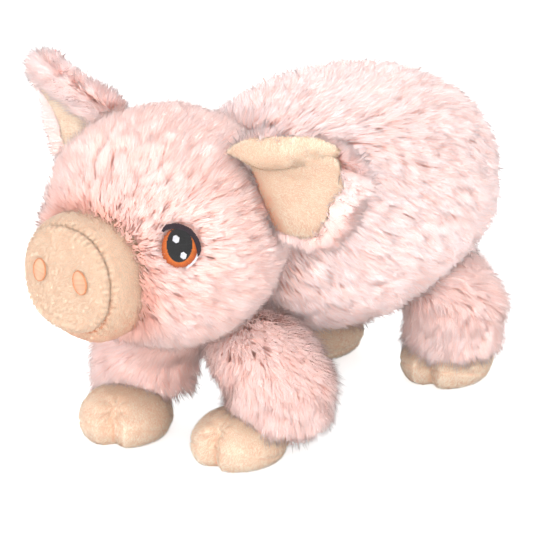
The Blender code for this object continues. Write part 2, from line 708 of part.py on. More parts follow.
for word, side in SIDES.items():
    up = Vector((sin(NOSTRIL_LEAN) * -side, 0, cos(NOSTRIL_LEAN)))
    back = Vector((NOSTRIL_SPACING / 2 * side, SNOUT_TIP_Y + NOSTRIL_SINK, SNOUT_MID_HEIGHT + NOSTRIL_RISE))
    oval(f"nostril_{word}", back, (0, -1, 0), up, NOSTRIL_HALF_WIDTH, NOSTRIL_HALF_HEIGHT,
         NOSTRIL_DEPTH, True, NOSTRIL_SIDES, nostril_thread)
    nostril_rooms.append(guide(oval(
        f"nostril_room_{word}", back + Vector((0, SEAT_GAP, 0)), (0, -1, 0), up,
        NOSTRIL_HALF_WIDTH + SEAT_GAP, NOSTRIL_HALF_HEIGHT + SEAT_GAP, NOSTRIL_SINK + OVERRUN, False,
        NOSTRIL_SIDES,
    )))
combine(snout_face, nostril_rooms, "DIFFERENCE")

# Legs and feet: each sleeve holds a column of stuffing and closes on the top of its trotter
leg_tools = []
for name, (hip, ankle, foot, radius, toe_out, turn) in legs.items():
    foot_form(f"foot_{name}", foot, toe_out, 0, velboa)
    foot_room = guide(foot_form(f"foot_room_{name}", foot, toe_out, -SEAT_GAP))
    bore = guide(leg_core(f"leg_bore_{name}", hip, ankle, turn, 0))
    column = guide(leg_core(f"leg_column_{name}", hip, ankle, turn, SEAT_GAP))
    cover = leg_form(f"leg_cover_{name}", hip, ankle, radius, fur)
    stuffing = leg_form(f"leg_stuffing_{name}", hip, ankle, radius, filling)
    combine(cover, [bore, foot_room], "DIFFERENCE")
    combine(stuffing, [column], "INTERSECT")
    combine(stuffing, [foot_room], "DIFFERENCE")
    for piece in (cover, stuffing):
        piece.data.transform(Matrix.Translation(-hip))
        piece.location = hip
    leg_tools += [foot_room, bore, column]

remove([
    head_seat, neck_pocket, neck_hollow, tail_seat, tail_ball, torso_cavity, neck_opening, neck_plug,
    head_outside, head_cavity, snout_room, snout_core, snout_bore, *hip_seats, *eye_rooms, *ear_rooms,
    *nostril_rooms, *leg_tools,
])
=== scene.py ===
import json
from math import cos, pi, radians, sin

import bmesh
import bpy
import numpy as np
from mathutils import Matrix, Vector, noise
from mathutils.bvhtree import BVHTree
from mathutils.kdtree import KDTree


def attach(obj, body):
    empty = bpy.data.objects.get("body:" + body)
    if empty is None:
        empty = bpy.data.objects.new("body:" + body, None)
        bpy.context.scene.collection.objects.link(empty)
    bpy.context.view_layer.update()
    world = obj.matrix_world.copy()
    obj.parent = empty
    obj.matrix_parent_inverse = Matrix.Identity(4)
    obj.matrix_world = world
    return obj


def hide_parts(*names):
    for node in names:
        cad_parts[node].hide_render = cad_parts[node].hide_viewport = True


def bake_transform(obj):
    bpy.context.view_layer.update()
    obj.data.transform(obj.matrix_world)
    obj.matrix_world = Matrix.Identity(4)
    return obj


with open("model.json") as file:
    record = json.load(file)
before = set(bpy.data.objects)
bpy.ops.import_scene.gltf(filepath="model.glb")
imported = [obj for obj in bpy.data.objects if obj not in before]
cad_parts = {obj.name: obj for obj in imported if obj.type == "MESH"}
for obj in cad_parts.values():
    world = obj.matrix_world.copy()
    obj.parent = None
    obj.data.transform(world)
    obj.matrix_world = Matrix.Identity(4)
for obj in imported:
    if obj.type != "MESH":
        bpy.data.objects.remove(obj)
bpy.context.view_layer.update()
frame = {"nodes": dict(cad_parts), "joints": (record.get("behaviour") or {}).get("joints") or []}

# The setting: a white sweep that the pig stands on, lit evenly by a pale room and four broad soft
# lamps, and seen from the pig's front left, a little from above.
FLOOR_HALF = 3.0
PAPER_WHITE = 0.95
FLOOR_GLOW = 0.62
ROOM_LIGHT = 0.92
LAMPS = {  # place, size and power
    "overhead_lamp": ((-0.3, -0.5, 1.6), 1.4, 3.0),
    "front_lamp": ((1.2, -1.35, 0.90), 1.1, 15.5),
    "right_lamp": ((-0.8, -1.7, 0.35), 1.2, 4.5),
    "back_lamp": ((-1.0, 1.5, 1.0), 1.2, 12.0),
}
PIG_MIDDLE = Vector((0, 0, 0.075))
CAMERA_AZIMUTH = radians(42)
CAMERA_RISE = radians(21)
CAMERA_DISTANCE = 2.5
FRAME_WIDTH = 0.2348
SENSOR_WIDTH = 36.0
AIM_RIGHT = 0.0020
AIM_DOWN = 0.0051


def seen_directly(tree):
    """A node's output that is 1 where a ray comes from the camera or from a gloss, and else 0."""
    rays = tree.nodes.new("ShaderNodeLightPath")
    seen = tree.nodes.new("ShaderNodeMath")
    seen.operation = "MAXIMUM"
    tree.links.new(rays.outputs["Is Camera Ray"], seen.inputs[0])
    tree.links.new(rays.outputs["Is Glossy Ray"], seen.inputs[1])
    return seen.outputs[0]


floor_corners = [(x * FLOOR_HALF, y * FLOOR_HALF, 0) for x, y in ((-1, -1), (1, -1), (1, 1), (-1, 1))]
floor_mesh = bpy.data.meshes.new("floor")
floor_mesh.from_pydata(floor_corners, [], [(0, 1, 2, 3)])
floor = bpy.data.objects.new("floor", floor_mesh)
bpy.context.scene.collection.objects.link(floor)

white_sweep = bpy.data.materials.new("white sweep")
white_sweep.use_nodes = True
tree = white_sweep.node_tree
tree.nodes.clear()
paper = tree.nodes.new("ShaderNodeBsdfDiffuse")
paper.inputs["Color"].default_value = (PAPER_WHITE, PAPER_WHITE, PAPER_WHITE, 1)
glow = tree.nodes.new("ShaderNodeEmission")
strength = tree.nodes.new("ShaderNodeMath")
strength.operation = "MULTIPLY"
strength.inputs[1].default_value = FLOOR_GLOW
both = tree.nodes.new("ShaderNodeAddShader")
out = tree.nodes.new("ShaderNodeOutputMaterial")
tree.links.new(seen_directly(tree), strength.inputs[0])
tree.links.new(strength.outputs[0], glow.inputs["Strength"])
tree.links.new(paper.outputs[0], both.inputs[0])
tree.links.new(glow.outputs[0], both.inputs[1])
tree.links.new(both.outputs[0], out.inputs["Surface"])
floor_mesh.materials.append(white_sweep)

room = bpy.data.worlds.new("pale room")
room.use_nodes = True
bpy.context.scene.world = room
tree = room.node_tree
backdrop = tree.nodes["Background"]
level = tree.nodes.new("ShaderNodeMapRange")
level.inputs["To Min"].default_value = ROOM_LIGHT
level.inputs["To Max"].default_value = 1.0
tree.links.new(seen_directly(tree), level.inputs["Value"])
tree.links.new(level.outputs["Result"], backdrop.inputs["Strength"])
backdrop.inputs["Color"].default_value = (1, 1, 1, 1)

for name, (place, size, power) in LAMPS.items():
    lamp = bpy.data.lights.new(name, "AREA")
    lamp.size = size
    lamp.energy = power
    lamp_object = bpy.data.objects.new(name, lamp)
    bpy.context.scene.collection.objects.link(lamp_object)
    lamp_object.location = place
    lamp_object.rotation_euler = (PIG_MIDDLE - Vector(place)).to_track_quat("-Z", "Y").to_euler()

outward = Vector((
    sin(CAMERA_AZIMUTH) * cos(CAMERA_RISE), -cos(CAMERA_AZIMUTH) * cos(CAMERA_RISE), sin(CAMERA_RISE)))
right = Vector((cos(CAMERA_AZIMUTH), sin(CAMERA_AZIMUTH), 0))
up = outward.cross(right)
aim = PIG_MIDDLE + right * AIM_RIGHT - up * AIM_DOWN
lens = bpy.data.cameras.new("camera")
lens.sensor_width = SENSOR_WIDTH
lens.lens = SENSOR_WIDTH * CAMERA_DISTANCE / FRAME_WIDTH
camera = bpy.data.objects.new("camera", lens)
bpy.context.scene.collection.objects.link(camera)
camera.location = aim + outward * CAMERA_DISTANCE
camera.rotation_euler = (-outward).to_track_quat("-Z", "Y").to_euler()
bpy.context.scene.camera = camera
bpy.context.scene.view_settings.view_transform = "Standard"

# Torso: a long cushion of knitted backing with a soft pile of about a centimetre, turned right side
# out and stuffed firmly with fibre. The pile is combed back and down and lies in loose tufts.
BACKING_DEPTH = 0.0065
TORSO_BACKING_DEPTH = 0.0047
CLOTH_GRAIN = 0.0032
SMOOTHING_ROUNDS = 10
PUFF_PRESSURE = 4.0
PUFF_FRAMES = 20
PUFF_LIMIT = 0.003
PILE_LENGTH = 0.0125
PILE_WIDTH = 0.00050
PILE_LIFT = radians(50)
PILE_TIP_LIFT = radians(24)
PILE_BEND = 0.45
TIP_TURN = 0.6
PILE_RIDGE = 0.45
STRANDS_A_TUFT = 14
TUFT_PULL = 0.12
TUFT_WANDER = 0.20
STRAND_WANDER = 0.20
TUFT_SPREADS = (0.06, 0.07, 0.05)  # of the lift, the tip's lift and the length
STRAND_SPREADS = (0.12, 0.15, 0.11)
STRAND_ROLL = 0.25
SHADE_SHARES = (0.35, 0.35, 0.30)  # the least, what a tuft adds and what a strand adds
DRIFT = 0.7
DRIFT_SCALE = 34
REACH_ALONG = 0.73
REACH_OUT = 0.65
EDGE_TURN = 0.7
SKIN_SHARE = 0.8
SHADE_SPAN = (0.02, 0.94)
BLADE_SPAN = 0.02
ROOT_TO_TIP = (0.01, 0.98)
GLOW_DEPTH = 0.0075
GLOW_SHARES = (1.0, 0.80, 0.74)
LARGEST_COAT = 49900
TORSO_STRANDS = 72000
TORSO_PILE_WIDTH = 0.00070
TORSO_STRANDS_A_TUFT = 8
TORSO_LIFT = radians(35)
TORSO_TIP_LIFT = radians(5)
TORSO_WARMTH = 0.14
# Painted shade: the torso's pile is deeper salmon at the neck, under the head, and low on the belly.
TORSO_PAINTED_SHADE = 0.28
NECK_SHADE_Y = -0.005
NECK_SHADE_FADE = 0.03
BELLY_SHADE_Z = 0.075
BELLY_SHADE_FADE = 0.035
COMB_SIDEWAYS = 0.35
COMB_PARTING = 0.02
COMB_DOWN = 0.85
HIDDEN_DEPTH = 0.0150
LINING_ROOM = 0.0010
LEGS = ("front_left", "front_right", "hind_left", "hind_right")
# The fur's colours from root to tip. The deep salmon at the roots is painted shade, deep in the pile where
# the strands shade each other.
FUR_ROOT_SHADE = (0.790, 0.470, 0.410)
FUR_MIDDLE = (0.765, 0.620, 0.605)
FUR_TIP = (0.745, 0.705, 0.720)
FUR_PALE = (0.740, 0.735, 0.775)
FUR_SHADES = (
    (0.0, (0.99, 0.60, 0.48)), (0.35, (0.99, 0.86, 0.81)), (0.65, (1.0, 0.96, 0.95)), (1.0, (1.0, 1.0, 1.0)))
BACKING_COLOURS = ((0.90, 0.50, 0.43), (0.93, 0.60, 0.53))


def array_of(items, name, width):
    """A mesh layer's numbers as rows."""
    found = np.empty(len(items) * width, np.float32)
    items.foreach_get(name, found)
    return found.reshape(-1, width).astype(float)


def units(rows):
    """Rows of vectors, each made one long."""
    return rows / np.maximum(np.linalg.norm(rows, axis=1, keepdims=True), 1e-9)


def reshaped(piece, co):
    """Moves a piece's points."""
    piece.data.vertices.foreach_set("co", co.astype(np.float32).ravel())
    piece.data.update()


def placed(name, mesh):
    """Puts a mesh in the scene under its piece's name."""
    piece = bpy.data.objects.new(name, mesh)
    bpy.context.scene.collection.objects.link(piece)
    return piece


def as_seen(piece):
    """Fixes a piece's modifiers into its mesh."""
    bpy.context.view_layer.update()
    mesh = bpy.data.meshes.new_from_object(piece.evaluated_get(bpy.context.evaluated_depsgraph_get()))
    piece.modifiers.clear()
    piece.data = mesh
    mesh.name = piece.name
    return mesh


def largest_shell(mesh):
    """Leaves a mesh's largest connected part alone."""
    bm = bmesh.new()
    bm.from_mesh(mesh)
    left = set(bm.verts)
    shells = []
    while left:
        edge = [left.pop()]
        shell = set(edge)
        while edge:
            for link in edge.pop().link_edges:
                for vert in link.verts:
                    if vert in left:
                        left.remove(vert)
                        shell.add(vert)
                        edge.append(vert)
        shells.append(shell)
    shells.sort(key=len)
    for shell in shells[:-1]:
        bmesh.ops.delete(bm, geom=list(shell), context="VERTS")
    bm.to_mesh(mesh)
    bm.free()


def wrapped(node_names):
    """The taut wrap round some of the part's solids."""
    bm = bmesh.new()
    for node in node_names:
        bm.from_mesh(frame["nodes"][node].data)
    bmesh.ops.convex_hull(bm, input=list(bm.verts))
    bmesh.ops.delete(bm, geom=[v for v in bm.verts if not v.link_faces], context="VERTS")
    return bm


def sewn_form(name, node_names, grain, hull, rounds=SMOOTHING_ROUNDS):
    """The smooth cloth form over some solids, bridged across their openings where hull is set."""
    if hull:
        bm = wrapped(node_names)
    else:
        bm = bmesh.new()
        for node in node_names:
            bm.from_mesh(frame["nodes"][node].data)
    mesh = bpy.data.meshes.new(name)
    bm.to_mesh(mesh)
    bm.free()
    piece = placed(name, mesh)
    knit = piece.modifiers.new("Knit", "REMESH")
    knit.mode = "VOXEL"
    knit.voxel_size = grain
    ease = piece.modifiers.new("Ease", "SMOOTH")
    ease.factor = 0.5
    ease.iterations = rounds
    largest_shell(as_seen(piece))
    piece.data.shade_smooth()
    return piece


def drawn_in(piece, depth):
    """Moves a form's surface inwards by a depth."""
    co = array_of(piece.data.vertices, "co", 3)
    normals = array_of(piece.data.vertex_normals, "vector", 3)
    reshaped(piece, co - normals * depth)


def puffed(piece, pressure, limit):
    """Blows a form up with cloth simulation, as its filling does, no point moving past a limit."""
    before = array_of(piece.data.vertices, "co", 3)
    cloth = piece.modifiers.new("Cloth", "CLOTH")
    cloth.settings.use_pressure = True
    cloth.settings.uniform_pressure_force = pressure
    cloth.settings.effector_weights.gravity = 0
    cloth.point_cache.frame_start = 1
    cloth.point_cache.frame_end = PUFF_FRAMES
    for number in range(1, PUFF_FRAMES + 1):
        bpy.context.scene.frame_set(number)
    moved = as_seen(piece)
    bpy.context.scene.frame_set(1)
    step = array_of(moved.vertices, "co", 3) - before
    far = np.linalg.norm(step, axis=1, keepdims=True)
    reshaped(piece, before + step * np.minimum(1, limit / np.maximum(far, 1e-9)))
    moved.shade_smooth()


def coloured_ramp(nodes, stops):
    """A ramp with a colour at each of its stops."""
    ramp = nodes.new("ShaderNodeValToRGB")
    while len(ramp.color_ramp.elements) < len(stops):
        ramp.color_ramp.elements.new(0.5)
    for element, (position, colour) in zip(ramp.color_ramp.elements, stops):
        element.position = position
        element.color = (*colour, 1)
    return ramp


def cloth_material(name, colours, grain_scale, grain_depth, roughness, sheen):
    """Woven or piled cloth: two colours in soft patches, with a fine grain of bumps."""
    material = bpy.data.materials.new(name)
    material.use_nodes = True
    nodes = material.node_tree.nodes
    links = material.node_tree.links
    shader = nodes["Principled BSDF"]
    places = nodes.new("ShaderNodeTexCoord")
    patches = nodes.new("ShaderNodeTexNoise")
    patches.inputs["Scale"].default_value = grain_scale / 12
    patches.inputs["Detail"].default_value = 5
    ramp = coloured_ramp(nodes, ((0.32, colours[0]), (0.68, colours[1])))
    grain = nodes.new("ShaderNodeTexNoise")
    grain.inputs["Scale"].default_value = grain_scale
    grain.inputs["Detail"].default_value = 3
    bump = nodes.new("ShaderNodeBump")
    bump.inputs["Strength"].default_value = 0.6
    bump.inputs["Distance"].default_value = grain_depth
    links.new(places.outputs["Object"], patches.inputs["Vector"])
    links.new(places.outputs["Object"], grain.inputs["Vector"])
    links.new(patches.outputs["Fac"], ramp.inputs["Fac"])
    links.new(ramp.outputs["Color"], shader.inputs["Base Color"])
    links.new(grain.outputs["Fac"], bump.inputs["Height"])
    links.new(bump.outputs["Normal"], shader.inputs["Normal"])
    shader.inputs["Roughness"].default_value = roughness
    shader.inputs["Sheen Weight"].default_value = sheen
    shader.inputs["Specular IOR Level"].default_value = 0.2
    return material


def pile_material(name, stops, shades, roughness, sheen, glow):
    """Pile that is coloured along each strand by stops and from tuft to tuft by shades.

    The strands' own map runs from root to tip in V, and from deep to pale tufts in U.
    """
    material = bpy.data.materials.new(name)
    material.use_nodes = True
    nodes = material.node_tree.nodes
    links = material.node_tree.links
    shader = nodes["Principled BSDF"]
    own_map = nodes.new("ShaderNodeUVMap")
    own_map.uv_map = "OFBake"
    split = nodes.new("ShaderNodeSeparateXYZ")
    along = coloured_ramp(nodes, stops)
    tufts = coloured_ramp(nodes, shades)
    mixed = nodes.new("ShaderNodeMix")
    mixed.data_type = "RGBA"
    mixed.blend_type = "MULTIPLY"
    mixed.inputs["Factor"].default_value = 1
    links.new(own_map.outputs["UV"], split.inputs["Vector"])
    links.new(split.outputs["Y"], along.inputs["Fac"])
    links.new(split.outputs["X"], tufts.inputs["Fac"])
    links.new(along.outputs["Color"], mixed.inputs["A"])
    links.new(tufts.outputs["Color"], mixed.inputs["B"])
    links.new(mixed.outputs["Result"], shader.inputs["Base Color"])
    shader.inputs["Roughness"].default_value = roughness
    shader.inputs["Sheen Weight"].default_value = sheen
    shader.inputs["Specular IOR Level"].default_value = 0.15
    shader.subsurface_method = "BURLEY"
    shader.inputs["Subsurface Weight"].default_value = 1.0
    shader.inputs["Subsurface Radius"].default_value = GLOW_SHARES
    shader.inputs["Subsurface Scale"].default_value = glow
    return material


def planted(skin, count, rng):
    """Random spots on a skin, evenly spread, with the way out of the skin at each."""
    mesh = skin.data
    mesh.calc_loop_triangles()
    corners = np.empty(len(mesh.loop_triangles) * 3, np.int32)
    mesh.loop_triangles.foreach_get("vertices", corners)
    corners = corners.reshape(-1, 3)
    co = array_of(mesh.vertices, "co", 3)
    normals = array_of(mesh.vertex_normals, "vector", 3)
    a, b, c = (co[corners[:, k]] for k in range(3))
    area = np.linalg.norm(np.cross(b - a, c - a), axis=1)
    picked = rng.choice(len(corners), count, p=area / area.sum())
    shares = rng.random((count, 2))
    over = shares.sum(1) > 1
    shares[over] = 1 - shares[over]
    shares = np.column_stack((1 - shares.sum(1), shares))
    spots = sum(co[corners[picked, k]] * shares[:, k:k + 1] for k in range(3))
    ways = units(sum(normals[corners[picked, k]] * shares[:, k:k + 1] for k in range(3)))
    return spots, ways


def in_the_open(spots, node_names, depth):
    """Which spots are less than a depth inside each of the solids, taken with their openings closed."""
    shown = np.ones(len(spots), bool)
    for node in node_names:
        bm = wrapped([node])
        near = BVHTree.FromBMesh(bm)
        co = np.array([v.co for v in bm.verts])
        inside = ((spots > co.min(0)) & (spots < co.max(0))).all(1)
        for i in np.flatnonzero(inside & shown):
            spot = Vector(spots[i])
            found, way, _, distance = near.find_nearest(spot)
            if distance > depth and (spot - found).dot(way) < 0:
                shown[i] = False
        bm.free()
    return shown


def reaches_of(spots, ways, comb, length):
    """Where the tips of strands come to lie."""
    along = comb(spots, ways)
    along = units(along - ways * (along * ways).sum(1, keepdims=True))
    return spots + (along * REACH_ALONG + ways * REACH_OUT) * length


def clear_of(spots, reaches, forms, distance):
    """Which strands keep a distance from some forms, from their roots to their reaches."""
    co = np.concatenate([array_of(form.data.vertices, "co", 3) for form in forms])
    low = co.min(0) - distance
    high = co.max(0) + distance
    lookups = [
        BVHTree.FromPolygons(
            [v.co for v in form.data.vertices], [tuple(face.vertices) for face in form.data.polygons])
        for form in forms]
    clear = np.ones(len(spots), bool)
    near = ((reaches > low) & (reaches < high)).all(1) | ((spots > low) & (spots < high)).all(1)
    for i in np.flatnonzero(near):
        start, end = Vector(spots[i]), Vector(reaches[i])
        run = end - start
        for lookup in lookups:
            if min(lookup.find_nearest(start)[3], lookup.find_nearest(end)[3]) < distance:
                clear[i] = False
            elif lookup.ray_cast(start, run.normalized(), run.length)[0] is not None:
                clear[i] = False
    return clear


def combed_pile(
        name, spots, ways, comb, rng, material, length=PILE_LENGTH, width=PILE_WIDTH, lift=PILE_LIFT,
        tip_lift=PILE_TIP_LIFT, pull=TUFT_PULL, tuft=STRANDS_A_TUFT, warmth=None):
    """Strands of pile that rise from the spots and lie over towards the comb.

    Each tuft shares its lean, length and shade, and its strands' tips draw together.
    """
    count = len(spots)
    centres = rng.choice(count, max(1, count // tuft), replace=False)
    lookup = KDTree(len(centres))
    for k, i in enumerate(centres):
        lookup.insert(spots[i], k)
    lookup.balance()
    member = np.array([lookup.find(spot)[1] for spot in spots])
    along = comb(spots, ways)
    along = units(along - ways * (along * ways).sum(1, keepdims=True))
    across = np.cross(ways, along)
    drift = np.array([noise.noise(Vector(spots[i]) * DRIFT_SCALE) for i in centres]) * DRIFT
    turn = (drift + rng.normal(0, TUFT_WANDER, len(centres)))[member] + rng.normal(0, STRAND_WANDER, count)
    along, across = (
        along * np.cos(turn)[:, None] + across * np.sin(turn)[:, None],
        across * np.cos(turn)[:, None] - along * np.sin(turn)[:, None],
    )
    rise = lift + rng.normal(0, TUFT_SPREADS[0], len(centres))[member]
    rise = rise + rng.normal(0, STRAND_SPREADS[0], count)
    fall = tip_lift + rng.normal(0, TUFT_SPREADS[1], len(centres))[member]
    fall = fall + rng.normal(0, STRAND_SPREADS[1], count)
    long = length * (1 + rng.normal(0, TUFT_SPREADS[2], len(centres)))[member]
    long = long * (1 + rng.normal(0, STRAND_SPREADS[2], count))
    first = along * np.cos(rise)[:, None] + ways * np.sin(rise)[:, None]
    last = along * np.cos(fall)[:, None] + ways * np.sin(fall)[:, None]
    bends = spots + first * (PILE_BEND * long)[:, None]
    tips = bends + (first * (1 - TIP_TURN) + last * TIP_TURN) * ((1 - PILE_BEND) * long)[:, None]
    tips += (tips[centres][member] - tips) * pull
    roll = rng.normal(0, STRAND_ROLL, count)
    side = units(across * np.cos(roll)[:, None] + ways * np.sin(roll)[:, None]) * width / 2
    ridge = bends + units(ways - first * (ways * first).sum(1, keepdims=True)) * width * PILE_RIDGE
    least, of_tuft, of_strand = SHADE_SHARES
    shade = least + of_tuft * rng.random(len(centres))[member] + of_strand * rng.random(count)
    # Warmth deepens a strand's colour along the ramp of shades; most callers use it for painted shade in
    # creases and below.
    if warmth is not None:
        shade = shade * (1 - warmth(spots, ways))
    mesh = blades(name, (spots, bends - side, ridge, bends + side, tips), ways, shade)
    mesh.materials.append(material)
    return placed(name, mesh)


def blades(name, rows, ways, shade):
    """One mesh of many ridged blades: root, left edge, ridge and right edge at the bend, and tip."""
    count = len(shade)
    points = np.stack(rows, 1)
    normal = units(np.cross(points[:, 3] - points[:, 1], points[:, 4] - points[:, 1]))
    turned = (normal * ways).sum(1) < 0
    points[turned] = points[turned][:, (0, 3, 2, 1, 4)]
    normal[turned] *= -1
    edge = units(points[:, 1] - points[:, 3]) * EDGE_TURN
    soft = ways * SKIN_SHARE
    normals = np.stack([units(soft + n) for n in (normal, normal + edge, normal, normal - edge, normal)], 1)
    order = np.array((0, 2, 1, 0, 3, 2, 1, 2, 4, 2, 3, 4)) + np.arange(count)[:, None] * 5
    mesh = bpy.data.meshes.new(name)
    mesh.vertices.add(count * 5)
    mesh.vertices.foreach_set("co", points.astype(np.float32).ravel())
    mesh.loops.add(order.size)
    mesh.loops.foreach_set("vertex_index", order.astype(np.int32).ravel())
    mesh.polygons.add(count * 4)
    mesh.polygons.foreach_set("loop_start", np.arange(0, order.size, 3).astype(np.int32))
    own_map = mesh.uv_layers.new(name="OFBake")
    sides = np.array((1, 1, 0, 1, 2, 1, 0, 1, 1, 1, 2, 1)) / 2
    heights = np.array((0, PILE_BEND, PILE_BEND, 0, PILE_BEND, PILE_BEND) + (PILE_BEND, PILE_BEND, 1) * 2)
    u = SHADE_SPAN[0] + SHADE_SPAN[1] * shade[:, None] + BLADE_SPAN * sides[None, :]
    v = np.tile(ROOT_TO_TIP[0] + ROOT_TO_TIP[1] * heights, (count, 1))
    own_map.uv.foreach_set("vector", np.stack((u, v), 2).astype(np.float32).ravel())
    mesh.update(calc_edges=True)
    mesh.shade_smooth()
    mesh.normals_split_custom_set_from_vertices(normals.reshape(-1, 3).astype(np.float32))
    return mesh


def back_and_down(spots, ways):
    """The way the torso's pile is combed."""
    ones = np.ones(len(spots))
    return np.column_stack((COMB_SIDEWAYS * np.tanh(spots[:, 0] / COMB_PARTING), ones, -COMB_DOWN * ones))


def torso_tone_and_shade(spots, ways):
    """The torso's pile is a little rosier all over, with painted shade in deeper salmon at the neck, below
    and between the legs.
    """
    neck = np.clip((NECK_SHADE_Y - spots[:, 1]) / NECK_SHADE_FADE, 0, 1)
    below = np.clip((BELLY_SHADE_Z - spots[:, 2]) / BELLY_SHADE_FADE, 0, 1)
    return TORSO_WARMTH + TORSO_PAINTED_SHADE * np.maximum(neck, below)


backing = cloth_material(
    "salmon knitted backing", BACKING_COLOURS, grain_scale=900, grain_depth=0.0004, roughness=0.95, sheen=0.1)
fur = pile_material(
    "pale pink fur", ((0.0, FUR_ROOT_SHADE), (0.38, FUR_MIDDLE), (0.80, FUR_TIP), (1.0, FUR_PALE)), FUR_SHADES,
    roughness=0.85, sheen=0.25, glow=GLOW_DEPTH)

torso_skin = sewn_form("torso_skin", ["torso_cover"], CLOTH_GRAIN, hull=True)
drawn_in(torso_skin, TORSO_BACKING_DEPTH)
puffed(torso_skin, PUFF_PRESSURE, PUFF_LIMIT)
torso_skin.data.materials.append(backing)
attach(torso_skin, "torso")
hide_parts("torso_cover", "torso_stuffing")

rng = np.random.default_rng(11)
spots, ways = planted(torso_skin, TORSO_STRANDS, rng)
shown = in_the_open(spots, ["head_cover", *(f"leg_cover_{leg}" for leg in LEGS)], HIDDEN_DEPTH)
reaches = reaches_of(spots, ways, back_and_down, PILE_LENGTH)
lining_solids = [frame["nodes"][f"ear_lining_{side}"] for side in ("left", "right")]
shown &= clear_of(spots, reaches, lining_solids, LINING_ROOM)
spots, ways = spots[shown][:LARGEST_COAT], ways[shown][:LARGEST_COAT]
torso_fur = combed_pile(
    "torso_fur", spots, ways, back_and_down, rng, fur, width=TORSO_PILE_WIDTH, lift=TORSO_LIFT,
    tip_lift=TORSO_TIP_LIFT, tuft=TORSO_STRANDS_A_TUFT, warmth=torso_tone_and_shade)
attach(torso_fur, "torso")

# Neck: a wad of fibre between the torso and the head, hidden under the pile, on which the head turns.
NECK_GRAIN = 0.0025
NECK_PUFF_LIMIT = 0.0005
NECK_SMOOTHING_ROUNDS = 4
neck_filling = sewn_form(
    "neck_filling", ["neck_stuffing"], NECK_GRAIN, hull=False, rounds=NECK_SMOOTHING_ROUNDS)
puffed(neck_filling, PUFF_PRESSURE, NECK_PUFF_LIMIT)
neck_filling.data.materials.append(backing)
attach(neck_filling, "neck")
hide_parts("neck_stuffing")

# Head: the same fur in a round cover, sewn to the torso at the neck. Its pile is combed away from
# the snout all round, and is clipped shorter on the face and round the eyes.
HEAD_STRANDS = 80000
SNOUT_MIDDLE = Vector((0, -0.128, 0.099))
FACE_PILE = 0.0115
FACE_PILE_WIDTH = 0.00057
EYE_PLACE = Vector((0.0412, -0.0970, 0.1172))
EYE_OUTWARD = Vector((0.765, -0.597, 0.242)).normalized()
EYE_CLEARINGS = {1: 0.0084, -1: 0.0060}
CLIP_LEAST = 0.30
CLIP_REACH = 0.014
SNOUT_ROOM = 0.001
FACING_OUT = 0.3
HEAD_WARMTH = 0.45
FACE_BACK_Y = -0.085
# Painted shade: deeper salmon in the pile round the snout's root and round the ears' roots.
SNOUT_SHADE_PLACE = (0, -0.106, 0.097)
SNOUT_ROOT_SHADE = (0.80, 0.025, 0.012)  # the most, the distance where it starts to fade, and over what length
EAR_ROOT_PLACE = (0.043, -0.0505, 0.124)
EAR_ROOT_SHADE = (0.75, 0.006, 0.014)
SIDES = {"left": 1, "right": -1}


def mirrored(place, side):
    """A place or a way on the pig's left, or the like one on its right."""
    return np.array((place[0] * side, place[1], place[2]))


def faded(distance, most, start, length):
    """A warmth that fades with the distance from its place."""
    return most * np.clip(1 - (distance - start) / length, 0, 1)


def away_from_snout(spots, ways):
    """The way the head's pile is combed."""
    return spots - np.array(SNOUT_MIDDLE)


def head_tone_and_shade(spots, ways):
    """The head's pile is rosier than the torso's, with painted shade in deeper salmon round the snout and the
    ears' roots.
    """
    off = spots - np.array(SNOUT_SHADE_PLACE)
    warm = faded(np.linalg.norm(off[:, (0, 2)], axis=1), *SNOUT_ROOT_SHADE) * (spots[:, 1] < FACE_BACK_Y)
    for side in SIDES.values():
        gap = np.linalg.norm(spots - mirrored(EAR_ROOT_PLACE, side), axis=1)
        warm = np.maximum(warm, faded(gap, *EAR_ROOT_SHADE))
    return np.maximum(HEAD_WARMTH, warm)


head_skin = sewn_form("head_skin", ["head_cover"], CLOTH_GRAIN, hull=True)
drawn_in(head_skin, BACKING_DEPTH)
puffed(head_skin, PUFF_PRESSURE, PUFF_LIMIT)
head_skin.data.materials.append(backing)
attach(head_skin, "head")
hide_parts("head_cover", "head_stuffing")
spots, ways = planted(head_skin, HEAD_STRANDS, rng)
shown = in_the_open(spots, ["torso_cover"], HIDDEN_DEPTH) & in_the_open(spots, ["snout_band"], SNOUT_ROOM)
for side in SIDES.values():
    out_of_eye = mirrored(EYE_OUTWARD, side)
    off = spots - mirrored(EYE_PLACE, side)
    off -= out_of_eye * (off @ out_of_eye)[:, None]
    shown &= (np.linalg.norm(off, axis=1) > EYE_CLEARINGS[side]) | (ways @ out_of_eye < FACING_OUT)
reaches = reaches_of(spots, ways, away_from_snout, FACE_PILE)
shown &= clear_of(spots, reaches, lining_solids, LINING_ROOM)
spots, ways = spots[shown][:LARGEST_COAT], ways[shown][:LARGEST_COAT]
clipped = np.ones(len(spots))
for side in SIDES.values():
    gap = np.linalg.norm(spots - mirrored(EYE_PLACE, side), axis=1)
    clipped = np.minimum(
        clipped, np.clip(CLIP_LEAST + (gap - EYE_CLEARINGS[side]) / CLIP_REACH, CLIP_LEAST, 1))
head_fur = combed_pile(
    "head_fur", spots, ways, away_from_snout, rng, fur, length=FACE_PILE * clipped, width=FACE_PILE_WIDTH,
    warmth=head_tone_and_shade)
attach(head_fur, "head")

